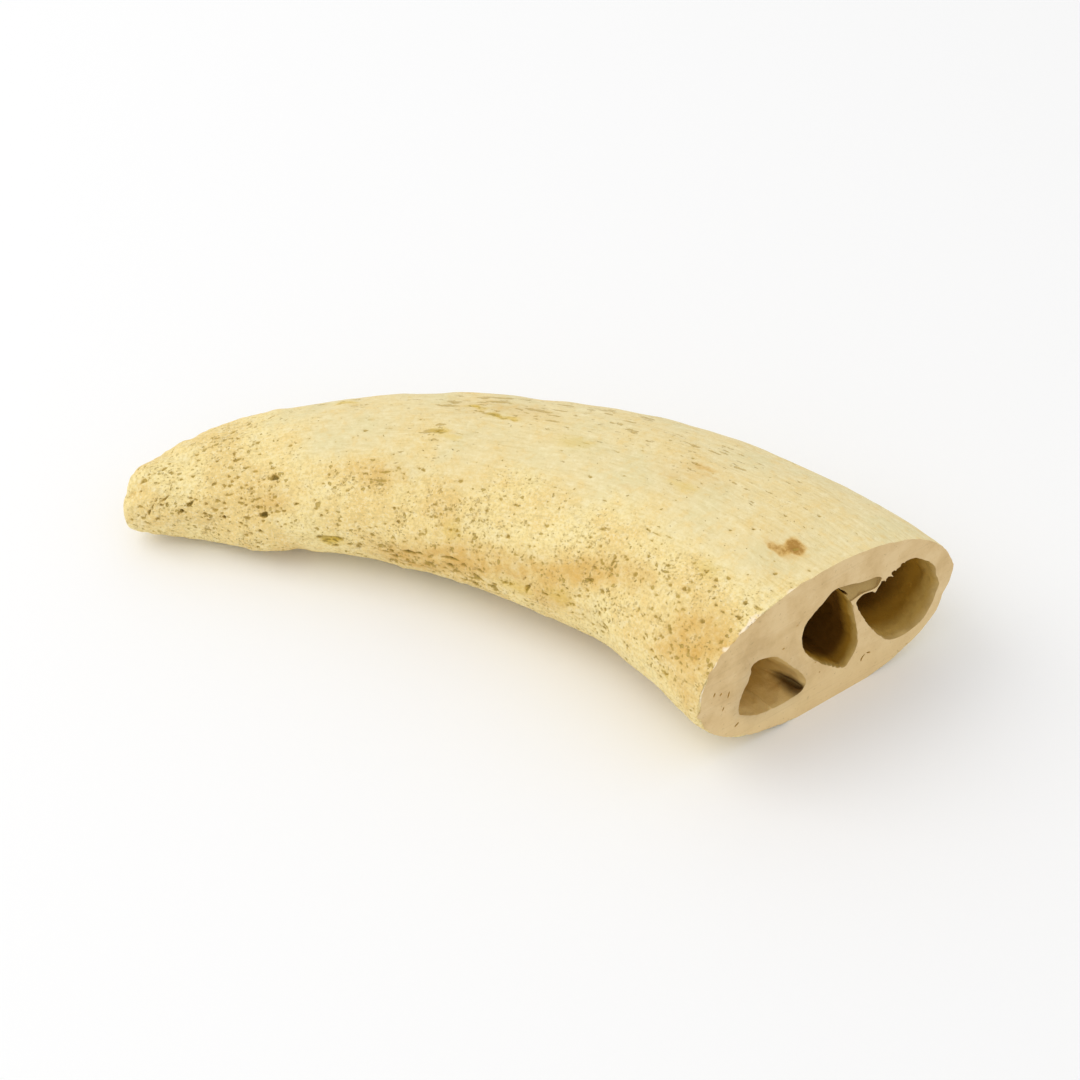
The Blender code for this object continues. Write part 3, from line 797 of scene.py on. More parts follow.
    def stamp(
        self, along: Array, around: Array, rate_along: Array, rate_round: Array
    ) -> tuple[Array, Array]:
        """Presses every pit, groove and pore into the grid.

        Args:
            along: Distance of each ring in mm.
            around: Angle of each side in radians.
            rate_along: Surface length for each mm along.
            rate_round: Surface length for each radian round.

        Returns:
            The depth in mm, and how dark the hole is painted from 0 to 1, darker for deeper holes: partly
            the pores' own brown, partly painted shade.
        """
        depth = np.zeros(rate_along.shape)
        shade = np.zeros(rate_along.shape)
        turn = around[1] - around[0]
        plan = self.pit_plan
        for one in (*plan.placed, *plan.strewn_pits(self.form), *plan.pores(self.form)):
            theta = math.radians(one.angle % 360)
            row = min(int(np.searchsorted(along, one.along)), self.rings - 1)
            column = int(round(theta / turn)) % self.sides
            reach = 0.5 * max(one.length, one.width) * 1.3
            along_rate = max(rate_along[row, column], 0.2)
            round_rate = max(rate_round[row, column], 0.2)
            first = int(np.searchsorted(along, one.along - reach / along_rate))
            last = int(np.searchsorted(along, one.along + reach / along_rate)) + 1
            width = min(int(reach / round_rate / turn) + 2, self.sides // 2 - 1)
            columns = np.arange(column - width, column + width + 1) % self.sides
            offset = np.remainder(around[columns] - theta + math.pi, 2 * math.pi) - math.pi
            u = (along[first:last, None] - one.along) * along_rate
            v = offset[None, :] * round_rate
            lean = math.radians(one.slant)
            ahead = (u * math.cos(lean) + v * math.sin(lean)) / (one.length / 2)
            aside = (v * math.cos(lean) - u * math.sin(lean)) / (one.width / 2)
            distance = np.hypot(ahead, aside)
            wobble = 0.14 * np.sin(3 * np.arctan2(aside, ahead) + one.along * 7)
            bowl = np.clip(1 - (distance * (1 + wobble)) ** 2, 0, 1) ** 0.7
            patch = np.ix_(np.arange(first, last), columns)
            depth[patch] = np.maximum(depth[patch], one.depth * bowl)
            # Deeper holes are painted darker: partly the pores' brown, partly painted shade.
            darkest = min(one.depth / self.darkest_depth, 1.0) ** 0.6
            shade[patch] = np.maximum(shade[patch], bowl * darkest)
        return depth, shade


def closed_tube(name: str, rings: Array) -> bpy.types.Object:
    """A closed body through rings of equal count, its faces pointing out.

    Args:
        name: The object's name.
        rings: Points in metres, one row of points for each ring, turning with +X behind.

    Returns:
        The object.
    """
    count, sides = rings.shape[:2]
    start = np.arange(count - 1)[:, None] * sides
    here = np.arange(sides)[None, :]
    following = (here + 1) % sides
    corners = [start + here, start + sides + here, start + sides + following, start + following]
    faces = np.stack(corners, axis=-1).reshape(-1, 4).tolist()
    faces.append(list(range(sides)))
    faces.append([(count - 1) * sides + k for k in reversed(range(sides))])
    mesh = bpy.data.meshes.new(name)
    mesh.from_pydata(rings.reshape(-1, 3).tolist(), [], faces)
    mesh.validate()
    made = bpy.data.objects.new(name, mesh)
    bpy.context.scene.collection.objects.link(made)
    return made


@dataclass(frozen=True)
class Spur:
    """A splinter that stands into a chamber, or a cleft in its wall.

    Attributes:
        place: The nearest point of the mouth's outline, across and up in mm.
        width: Its width at the foot in mm.
        reach: How far it stands into the chamber in mm, negative for a cleft.
        start: Depth in mm where it is whole.
        end: Depth in mm where it has died out.
    """

    place: tuple[float, float]
    width: float
    reach: float
    start: float = -3.0
    end: float = 1.0


@dataclass
class Chamber:
    """One air chamber that opens in the sawn face, in mm from the middle of that face.

    Attributes:
        name: What the chamber is called.
        outline: Its mouth, across and up.
        anchor: The point that its inner rings shrink towards.
        rings: Depth, share of width, share of height, shift across and shift up.
        stain_and_shade_rate: How fast it darkens inward, partly its own brown stain and partly painted
            shade.
        spurs: Its splinters and clefts.
    """

    name: str
    outline: tuple[tuple[float, float], ...]
    anchor: tuple[float, float]
    rings: tuple[tuple[float, float, float, float, float], ...]
    stain_and_shade_rate: float
    spurs: tuple[Spur, ...] = ()
    sides: int = 260
    steps: int = 90
    overshoot: float = 2.0
    wall_size: float = 3.4
    wall_height: float = 0.3
    grain_size: float = 1.1
    grain_height: float = 0.12
    mouth_calm: float = 3.0

    def grid(self) -> Array:
        """The chamber's surface.

        Returns:
            Rings of points in mm, from outside the mouth to the closed end.
        """
        outline = closed_curve(self.outline, self.sides)
        table = np.array(self.rings)
        inner = np.linspace(0, 1, self.steps) ** 1.6 * table[-1, 0]
        depth = np.concatenate([[-self.overshoot], inner])
        inside = np.maximum(depth, 0.0)
        read_off = hermite(table[:, 0], table[:, 1:], inside)[:, None, :]
        share, shift = read_off[..., :2], read_off[..., 2:]
        flat = np.array(self.anchor) + (outline[None] - self.anchor) * share + shift
        grid = np.concatenate([np.repeat(-depth[:, None, None], self.sides, axis=1), flat], axis=2)
        tangent = np.roll(outline, -1, axis=0) - np.roll(outline, 1, axis=0)
        outward = np.stack([tangent[:, 1], -tangent[:, 0]], axis=1)
        outward /= np.linalg.norm(outward, axis=1)[:, None]
        outward *= np.sign(np.sum((outline - outline.mean(axis=0)) * outward))
        rough = self.wall_height * bumps(grid, self.wall_size, 41)
        rough *= smooth_step(0.0, self.mouth_calm, depth)[:, None]
        rough += self.grain_height * bumps(grid, self.grain_size, 42)
        rough[0] = rough[1]
        for spur in self.spurs:
            whole = smooth_step(spur.start - 1.5, spur.start, depth)
            whole = whole * (1 - smooth_step(0.3, 1.0, depth / spur.end))
            rough = rough - whole[:, None] * self.tent(spur, outline)[None, :]
        grid[..., 1:] += outward[None] * rough[..., None]
        return grid

    @staticmethod
    def tent(spur: Spur, outline: Array) -> Array:
        """How far a spur stands out along the mouth.

        Args:
            spur: The splinter or cleft.
            outline: Points of the mouth, evenly spaced.

        Returns:
            One length in mm for each point.
        """
        count = len(outline)
        step = float(np.linalg.norm(np.roll(outline, -1, axis=0) - outline, axis=1).mean())
        middle = int(np.argmin(np.linalg.norm(outline - spur.place, axis=1)))
        away = np.abs(np.remainder(np.arange(count) - middle + count / 2, count) - count / 2) * step
        return spur.reach * np.clip(1 - away / (spur.width / 2), 0, 1)


@dataclass
class BrokenWall:
    """The broken top of the wall between the middle and the far chamber, in mm.

    The break is a slanting ledge: shallow at its lower edge and deeper towards the crown.
    """

    outline: tuple[tuple[float, float], ...] = (
        (0.6, 37.6), (5.2, 36.6), (8.0, 35.5), (11.1, 34.7), (13.2, 34.3), (14.6, 33.2), (14.4, 31.6),
        (13.0, 30.7), (9.1, 31.3), (7.0, 31.0), (5.6, 31.0), (3.4, 34.0),
    )
    floor_up: float = 30.8
    shallow: float = 0.35
    slope: float = 0.42
    deepest: float = 2.5
    sides: int = 130
    steps: int = 9
    overshoot: float = 2.0
    rough_size: float = 1.5
    rough_height: float = 0.22

    def grid(self) -> Array:
        """The broken place's surface.

        Returns:
            Rings of points in mm, from outside the face to the ledge's middle.
        """
        outline = closed_curve(self.outline, self.sides)
        middle = outline.mean(axis=0)
        floor = np.linspace(1.0, 0.02, 16)[1:]
        share = np.concatenate([np.ones(self.steps + 1), floor])
        flat = middle + (outline[None] - middle) * share[:, None, None]
        deep = self.shallow + self.slope * (flat[..., 1] - self.floor_up)
        deep = np.clip(deep, self.shallow, self.deepest)
        reached = np.concatenate([[0.0], np.linspace(0.0, 1.0, self.steps), np.ones(len(floor))])
        grid = np.concatenate([-(deep * reached[:, None])[..., None], flat], axis=2)
        rough = self.rough_height * bumps(grid, self.rough_size, 43)
        grid[..., 0] += rough * reached[:, None]
        grid[..., 1] += 0.8 * rough
        grid[0, :, 0] = self.overshoot
        return grid


@dataclass(frozen=True)
class SawnMark:
    """A small mark in the sawn face, in mm and degrees.

    Attributes:
        across: Where it is, across.
        up: Where it is, up.
        length: Its length.
        width: Its width.
        slant: Degrees from across to its length.
        depth: Its depth.
        bend: How far its middle is bowed.
    """

    across: float
    up: float
    length: float
    width: float
    slant: float
    depth: float
    bend: float = 0.0

    def grid(self) -> Array:
        """The mark's surface.

        Returns:
            Rings of points in mm, from outside the face to the bottom.
        """
        turn = np.linspace(0.0, 2 * math.pi, 24, endpoint=False)
        ahead = np.cos(turn) * self.length / 2
        aside = np.sin(turn) * self.width / 2 + self.bend * (1 - (2 * ahead / self.length) ** 2)
        lean = math.radians(self.slant)
        flat = np.stack([
            ahead * math.cos(lean) - aside * math.sin(lean),
            ahead * math.sin(lean) + aside * math.cos(lean),
        ], axis=1)
        share = np.array([1.0, 1.0, 0.85, 0.55])[:, None, None]
        bowed = flat.mean(axis=0)
        rings = bowed + (flat[None] - bowed) * share + (self.across, self.up)
        depth = np.array([-1.0, 0.0, 0.6, 1.0]) * self.depth
        depth[0] = -1.0
        return np.concatenate([np.repeat(-depth[:, None, None], len(turn), axis=1), rings], axis=2)


class Signal:
    """A shader socket that takes part in arithmetic."""

    def __init__(self, bench: "Bench", socket: bpy.types.NodeSocket) -> None:
        """Wraps a socket of the bench's material."""
        self.bench = bench
        self.socket = socket

    def __add__(self, other: "Signal | float") -> "Signal":
        """Sum."""
        return self.bench.math("ADD", self, other)

    __radd__ = __add__

    def __sub__(self, other: "Signal | float") -> "Signal":
        """Difference."""
        return self.bench.math("SUBTRACT", self, other)

    def __rsub__(self, other: "Signal | float") -> "Signal":
        """Difference from a number."""
        return self.bench.math("SUBTRACT", other, self)

    def __mul__(self, other: "Signal | float") -> "Signal":
        """Product."""
        return self.bench.math("MULTIPLY", self, other)

    __rmul__ = __mul__

    def __pow__(self, other: float) -> "Signal":
        """Power."""
        return self.bench.math("POWER", self, other)


class Bench:
    """One material's nodes."""

    def __init__(self, name: str) -> None:
        """Makes a material with only a Principled shader and its output."""
        self.material = bpy.data.materials.new(name)
        self.material.use_nodes = True
        self.tree = self.material.node_tree
        self.shader = self.tree.nodes["Principled BSDF"]

    def node(self, kind: str, settings: Mapping[str, Any], sockets: Mapping[str, Any]) -> bpy.types.Node:
        """Adds a node.

        Args:
            kind: The node's type.
            settings: Its own settings, set before its sockets.
            sockets: Values or signals for its inputs, by identifier or name.

        Returns:
            The node.
        """
        made = self.tree.nodes.new(kind)
        for key, value in settings.items():
            setattr(made, key, value)
        for key, value in sockets.items():
            self.feed(self.find(made.inputs, key), value)
        return made

    @staticmethod
    def find(sockets: Any, key: str) -> bpy.types.NodeSocket:
        """The socket with that identifier, or else with that name.

        Args:
            sockets: A node's inputs or outputs.
            key: Identifier or name.

        Returns:
            The socket.
        """
        by_identifier = [s for s in sockets if s.identifier == key]
        return by_identifier[0] if by_identifier else sockets[key]

    def feed(self, socket: bpy.types.NodeSocket, value: Any) -> None:
        """Links a signal into a socket, or sets its value.

        Args:
            socket: The input.
            value: A signal, a number, a colour or a vector.
        """
        if isinstance(value, Signal):
            self.tree.links.new(value.socket, socket)
        elif socket.type == "RGBA":
            socket.default_value = (*value, 1.0)
        else:
            socket.default_value = value

    def signal(self, node: bpy.types.Node, key: str) -> Signal:
        """One of a node's outputs as a signal."""
        return Signal(self, self.find(node.outputs, key))

    def math(self, operation: str, *operands: Signal | float) -> Signal:
        """Adds a Math node.

        Args:
            operation: What it does.
            operands: Signals or numbers.

        Returns:
            Its value.
        """
        made = self.node("ShaderNodeMath", {"operation": operation}, {})
        for socket, value in zip(made.inputs, operands):
            self.feed(socket, value)
        return self.signal(made, "Value")

    def step(self, value: Signal, low: float, high: float) -> Signal:
        """A smooth rise from 0 at low to 1 at high.

        Args:
            value: The signal.
            low: Where the rise starts.
            high: Where it ends.

        Returns:
            The rise.
        """
        settings = {"interpolation_type": "SMOOTHSTEP"}
        sockets = {"Value": value, "From Min": low, "From Max": high}
        return self.signal(self.node("ShaderNodeMapRange", settings, sockets), "Result")

    def blend(self, low: Signal | Colour, high: Signal | Colour, share: Signal | float) -> Signal:
        """Mixes two colours.

        Args:
            low: The colour where the share is 0.
            high: The colour where it is 1.
            share: How much of the second.

        Returns:
            The mixed colour.
        """
        sockets = {"Factor_Float": share, "A_Color": low, "B_Color": high}
        return self.signal(self.node("ShaderNodeMix", {"data_type": "RGBA"}, sockets), "Result_Color")

    def vector(self, operation: str, first: Signal, second: Any) -> Signal:
        """Adds a Vector Math node.

        Args:
            operation: What it does.
            first: A vector signal.
            second: Another, or a constant vector.

        Returns:
            The vector that it gives.
        """
        sockets = {"Vector": first, "Vector_001": second}
        return self.signal(self.node("ShaderNodeVectorMath", {"operation": operation}, sockets), "Vector")

    def layered(self, base: Colour, layers: Sequence[tuple[Colour, Signal]]) -> Signal:
        """Lays colours over one another, each as strongly as its own mask says.

        Args:
            base: The lowest colour.
            layers: The others with their masks, from the lowest up.

        Returns:
            The mixed colour.
        """
        colour: Any = base
        for tint, mask in layers:
            colour = self.blend(colour, tint, mask)
        return colour

    def stretched(self, vector: Signal, sizes: tuple[float, float, float]) -> Signal:
        """Coordinates divided by a size in each direction.

        Args:
            vector: Coordinates.
            sizes: Size in each direction, in the same unit.

        Returns:
            The new coordinates.
        """
        return self.vector("MULTIPLY", vector, tuple(1 / size for size in sizes))

    def noise(self, vector: Signal, size: float, detail: float, rough: float = 0.5) -> Signal:
        """Noise from 0 to 1.

        Args:
            vector: Coordinates.
            size: Size of its bumps in the same unit.
            detail: How many finer layers it has.
            rough: How strong those are.

        Returns:
            The noise.
        """
        sockets = {"Vector": vector, "Scale": 1 / size, "Detail": detail, "Roughness": rough}
        return self.signal(self.node("ShaderNodeTexNoise", {}, sockets), "Fac")

    def warped(self, vector: Signal, size: float, amount: float) -> Signal:
        """Coordinates pushed about by noise.

        Args:
            vector: Coordinates.
            size: Size of the noise's bumps in the same unit.
            amount: How far it pushes at most, about.

        Returns:
            The new coordinates.
        """
        push = self.node("ShaderNodeTexNoise", {}, {"Vector": vector, "Scale": 1 / size, "Detail": 1.0})
        spread = self.vector("SUBTRACT", self.signal(push, "Color"), (0.5, 0.5, 0.5))
        return self.vector("ADD", vector, self.vector("MULTIPLY", spread, (4 * amount,) * 3))

    def dots(self, vector: Signal, spacing: float, density: Signal, spread: float = 1.5) -> Signal:
        """Soft dots of 1 on 0, no more than one in each cell, of uneven size.

        Args:
            vector: Coordinates.
            spacing: Size of a cell in the same unit.
            density: From 0 for none to 1 for the largest dots.
            spread: How uneven their sizes are.

        Returns:
            The dots.
        """
        sockets = {"Vector": vector, "Scale": 1 / spacing}
        made = self.node("ShaderNodeTexVoronoi", {"feature": "F1"}, sockets)
        split = self.node("ShaderNodeSeparateColor", {}, {"Color": self.signal(made, "Color")})
        radius = self.signal(split, "Red") ** spread * density * 0.42
        return self.step(radius - self.signal(made, "Distance"), -0.03, 0.10)

    def spot(self, vector: Signal, centre: Vector, reach: tuple[float, float, float]) -> Signal:
        """A soft spot: 1 at its centre, 0 beyond its reach.

        Args:
            vector: Coordinates.
            centre: Where it is.
            reach: Its reach in each direction.

        Returns:
            The spot.
        """
        sockets = {"Vector": self.stretched(self.vector("SUBTRACT", vector, centre), reach)}
        length = self.signal(self.node("ShaderNodeVectorMath", {"operation": "LENGTH"}, sockets), "Value")
        return 1 - self.step(length, 0.3, 1.2)

    def attribute(self, name: str, output: str = "Fac") -> Signal:
        """What the mesh says at each point."""
        return self.signal(self.node("ShaderNodeAttribute", {"attribute_name": name}, {}), output)

    def place(self) -> Signal:
        """The object's own coordinates in mm."""
        source = self.signal(self.node("ShaderNodeTexCoord", {}, {}), "Object")
        return self.stretched(source, (MM, MM, MM))

    def bump(self, height: Signal, depth: float, under: Signal | None = None) -> Signal:
        """A bump in the surface.

        Args:
            height: Its shape, from 0 to 1.
            depth: Its height in mm.
            under: Another bump below it.

        Returns:
            The normal.
        """
        sockets: dict[str, Any] = {"Height": height, "Strength": 1.0, "Distance": depth * MM}
        if under is not None:
            sockets["Normal"] = under
        return self.signal(self.node("ShaderNodeBump", {}, sockets), "Normal")

    def finish(self, sockets: Mapping[str, Any]) -> bpy.types.Material:
        """Feeds the shader.

        Args:
            sockets: Values or signals for the shader's inputs.

        Returns:
            The material.
        """
        for key, value in sockets.items():
            self.feed(self.shader.inputs[key], value)
        return self.material


@dataclass(frozen=True)
class OuterBone:
    """The finish of the outer bone: cream, stippled with pores, washed with ochre."""

    crown: Colour = srgb(235, 217, 163)
    cream: Colour = srgb(250, 228, 158)
    chalk: Colour = srgb(249, 236, 190)
    shade: Colour = srgb(217, 195, 132)
    gold: Colour = srgb(234, 196, 114)
    ochre: Colour = srgb(214, 164, 66)
    chip: Colour = srgb(255, 238, 208)
    rust: Colour = srgb(160, 110, 14)
    olive: Colour = srgb(150, 122, 34)
    yellow: Colour = srgb(222, 188, 66)
    sage: Colour = srgb(224, 214, 162)
    fleck: Colour = srgb(182, 150, 66)
    pore: Colour = srgb(182, 152, 62)
    deep_pore_and_shade: Colour = srgb(112, 94, 24)
    patch_size: float = 15.0
    mottle_size: float = 2.6
    grain_size: float = 0.8
    fibre: tuple[float, float, float] = (4.5, 0.8, 0.8)
    break_in_stain: tuple[float, float, float] = (3.4, 0.45, 0.45)

    def build(self, form: HornForm, skin_map: SkinMap) -> bpy.types.Material:
        """Makes the material.

        Args:
            form: The horn's form.
            skin_map: Where its stains are.

        Returns:
            The material.
        """
        bench = Bench("outer_bone")
        straight = bench.attribute("straight", "Vector")
        uneven = bench.warped(straight, 3.0, 0.8)
        place = bench.place()
        patches = bench.noise(place, self.patch_size, 3.0)
        mottle = bench.noise(place, self.mottle_size, 4.0, 0.6)
        grain = bench.noise(place, self.grain_size, 3.0, 0.6)
        fibres = bench.noise(bench.stretched(straight, self.fibre), 1.0, 4.0, 0.65)
        breaks = bench.noise(bench.stretched(straight, self.break_in_stain), 1.0, 2.0)
        open_bone = (1 - bench.attribute("crown")) * 0.5 + patches * 0.6 + mottle * 0.3
        open_bone = bench.step(open_bone, 0.38, 0.98)
        washed = bench.attribute("ochre")
        flecks = self.flecks(bench, straight, open_bone, bench.attribute("streaked"))
        dots = self.dots(bench, straight, open_bone, washed)
        chips = skin_map.spots(bench, Stain.CHALK, form, uneven) + bench.attribute("rim") * 0.5
        rust = skin_map.spots(bench, Stain.RUST, form, uneven)
        olive = skin_map.spots(bench, Stain.OLIVE, form, uneven)
        # Pit colours darken with the pits' depth: partly the pores' own brown, partly painted shade in the
        # holes.
        pit = bench.attribute("pit") * (grain * 1.6 + 0.2)
        colour = bench.layered(self.crown, (
            (self.cream, open_bone),
            (self.sage, bench.step(patches, 0.48, 0.34) * (0.4 - open_bone * 0.35)),
            (self.gold, bench.step(patches, 0.44, 0.66) * (open_bone * 0.35 + 0.2)),
            (self.chalk, bench.step(fibres, 0.52, 0.66) * 0.35),
            (self.shade, bench.step(fibres, 0.48, 0.36) * 0.4),
            (self.gold, bench.step(mottle, 0.5, 0.68) * 0.3),
            (self.chalk, bench.step(mottle, 0.46, 0.32) * 0.35),
            (self.shade, bench.step(grain, 0.5, 0.62) * (open_bone * 0.5 + 0.12)),
            (self.chalk, bench.step(grain, 0.46, 0.36) * (open_bone * 0.4 + 0.1)),
            (self.ochre, washed * (bench.step(mottle + patches * 0.5, 0.45, 0.95) * 0.5 + 0.5) * 0.68),
            (self.chip, bench.step(chips, 0.3, 0.75) * bench.step(mottle, 0.4, 0.54) * 0.9),
            (self.fleck, flecks * 0.62),
            (self.pore, dots * 0.8),
            (self.ochre, bench.step(rust, 0.0, 0.9) * 0.7),
            (self.rust, bench.step(rust * (grain * 1.8 + 0.1), 0.4, 1.3) * 0.8),
            (self.pore, bench.step(pit, 0.12, 0.4) * 0.8),
            (self.yellow, bench.math("MINIMUM", olive * 0.65, 0.75)),
            (self.olive, bench.step(olive, 0.45, 1.0) * bench.step(breaks, 0.5, 0.58) * 0.8),
            (self.deep_pore_and_shade, bench.step(pit, 0.45, 0.85) * 0.75),
        ))
        height = mottle * 0.35 + grain * (open_bone * 0.2 + 0.1) + fibres * 0.16
        height = height - flecks * 0.14 - dots * 0.16
        normal = bench.bump(height, 1.0)
        roughness = 0.6 + mottle * 0.2
        return bench.finish({"Base Color": colour, "Roughness": roughness, "Normal": normal})

    @staticmethod
    def flecks(bench: Bench, straight: Signal, open_bone: Signal, streaked: Signal) -> Signal:
        """Small slits in the bone, mostly along the horn.

        Args:
            bench: The material's nodes.
            straight: Coordinates as if the horn were straight.
            open_bone: Where the bone is porous.
            streaked: Where the longer slits are.

        Returns:
            A mask from 0 to 1.
        """
        uneven = bench.warped(straight, 1.0, 0.22)
        clumps = bench.step(bench.noise(straight, 8.0, 3.0), 0.40, 0.60)
        wanted = (open_bone * 0.9 + 0.2) * (clumps * 0.85 + 0.2)
        rough = bench.warped(straight, 0.7, 0.25)
        stipple = bench.dots(bench.stretched(rough, (1.4, 0.9, 0.9)), 0.75, wanted, 0.8)
        spread = (streaked * 1.2 + 0.34) * (clumps * 0.5 + 0.5)
        dashes = bench.dots(bench.stretched(uneven, (3.8, 0.8, 0.8)), 1.25, spread)
        slits = bench.dots(bench.stretched(uneven, (4.4, 0.9, 0.9)), 2.3, streaked * 0.9 + 0.12)
        dashes = bench.math("MAXIMUM", dashes, slits)
        return bench.math("MAXIMUM", stipple * 0.8, dashes)

    @staticmethod
    def dots(bench: Bench, straight: Signal, open_bone: Signal, ochre: Signal) -> Signal:
        """Fine round pores.

        Args:
            bench: The material's nodes.
            straight: Coordinates as if the horn were straight.
            open_bone: Where the bone is porous.
            ochre: Where it is washed with ochre.

        Returns:
            A mask from 0 to 1.
        """
        uneven = bench.warped(straight, 1.2, 0.4)
        clumps = bench.step(bench.noise(straight, 6.0, 2.0), 0.36, 0.6)
        density = clumps * (open_bone * 0.64 + ochre * 0.25 + 0.38)
        small = bench.dots(bench.stretched(uneven, (1.4, 1.0, 1.0)), 1.1, density)
        large = bench.dots(bench.stretched(uneven, (1.4, 1.0, 1.0)), 2.9, density * 0.62)
        return bench.math("MAXIMUM", small, large)


@dataclass(frozen=True)
class SawnBone:
    """The finish of the sawn face: smooth, pinkish beige, with faint saw marks, and a painted bounce light
    that makes it lighter and warmer towards the bottom.
    """

    face: Colour = srgb(222, 191, 136)
    pale: Colour = srgb(232, 204, 152)
    warm: Colour = srgb(208, 175, 118)
    # A lighter, warmer colour near the bottom of the face: painted bounce light from the floor.
    low: Colour = srgb(240, 211, 154)
    bounce_light_at: tuple[float, float] = (20.0, 2.0)
    mark: Colour = srgb(176, 146, 98)

    def build(self) -> bpy.types.Material:
        """Makes the material.

        Returns:
            The material.
        """
        bench = Bench("sawn_bone")
        place = bench.place()
        patches = bench.noise(place, 7.0, 4.0, 0.6)
        grain = bench.noise(place, 0.9, 4.0, 0.6)
        saw = bench.noise(bench.stretched(place, (1.0, 22.0, 0.5)), 1.0, 2.0)
        height = bench.signal(bench.node("ShaderNodeSeparateXYZ", {}, {"Vector": place}), "Z")
        colour = bench.layered(self.face, (
            (self.pale, bench.step(patches, 0.48, 0.64) * 0.7),
            (self.warm, bench.step(patches, 0.5, 0.34) * 0.7),
            # Painted bounce light: lighter and warmer towards the bottom of the face.
            (self.low, (1 - bench.step(height, *reversed(self.bounce_light_at))) * 0.6),
            (self.mark, bench.step(saw, 0.56, 0.72) * 0.12),
            (self.mark, bench.step(grain, 0.62, 0.74) * 0.6),
        ))
        normal = bench.bump(grain, 0.05)
        normal = bench.bump(saw, 0.05, normal)
        roughness = 0.58 + grain * 0.15
        return bench.finish({"Base Color": colour, "Roughness": roughness, "Normal": normal})


@dataclass(frozen=True)
class ChamberBone:
    """The finish inside the chambers: beige at the mouth, brown and then dark further in, partly the bone's
    own brown stain and partly painted shade.
    """

    mouth: Colour = srgb(224, 194, 130)
    shallow: Colour = srgb(204, 168, 88)
    brown: Colour = srgb(172, 128, 40)
    dark: Colour = srgb(112, 74, 20)
    # Colour of the painted shadow in the near chamber's crevice.
    deep: Colour = srgb(84, 54, 8)
    shallow_at: float = 3.5
    brown_at: float = 10.0
    dark_at: float = 22.0
    # A darker beige on the broken ledge: painted shade for its shaded recess.
    ledge: Colour = srgb(180, 151, 96)
    sheen: float = 0.12
    # Where the painted crevice shadow sits, from the middle of the sawn face, and its reach, in mm.
    crevice_shadow_at: tuple[float, float, float] = (-2.6, -7.0, 8.8)
    crevice_shadow_reach: tuple[float, float, float] = (7.5, 3.2, 1.8)

    def build(self, cut_place: tuple[float, float]) -> bpy.types.Material:
        """Makes the material.

        Args:
            cut_place: Where the middle of the sawn face stands, in mm.

        Returns:
            The material.
        """
        bench = Bench("chamber_bone")
        place = bench.place()
        split = bench.node("ShaderNodeSeparateXYZ", {}, {"Vector": place})
        mottle = bench.noise(place, 4.0, 4.0, 0.6)
        stain_and_shade_rate = bench.attribute("stain_and_shade_rate")
        # Darker the deeper in, at each piece's own rate: the chambers' brown stain mixed with painted shade,
        # and only painted shade on the broken ledge and in the sawn marks.
        depth = (cut_place[0] - bench.signal(split, "X")) * stain_and_shade_rate
        depth = depth + mottle * 3.0 - 1.5
        # Picks out the broken ledge for its painted shade.
        ledge_shade_mask = bench.step(stain_and_shade_rate, 4.2, 4.8) * (1 - bench.step(stain_and_shade_rate, 6.0, 10.0))
        middle = tuple(np.add(self.crevice_shadow_at, (*cut_place, 0.0)))
        colour = bench.layered(self.mouth, (
            (self.shallow, bench.step(depth, -0.8, self.shallow_at)),
            (self.brown, bench.step(depth, self.shallow_at, self.brown_at)),
            (self.dark, bench.step(depth, self.brown_at, self.dark_at)),
            (self.ledge, ledge_shade_mask * 0.9),
            # A dark spot in the near chamber's crevice: a painted shadow.
            (self.deep, bench.spot(place, middle, self.crevice_shadow_reach) * 0.9),
        ))
        grain = bench.noise(place, 0.8, 4.0, 0.6)
        normal = bench.bump(grain, 0.12)
        roughness = 0.6 + mottle * 0.2
        sockets = {"Base Color": colour, "Roughness": roughness, "Normal": normal}
        return bench.finish({**sockets, "Specular IOR Level": self.sheen})


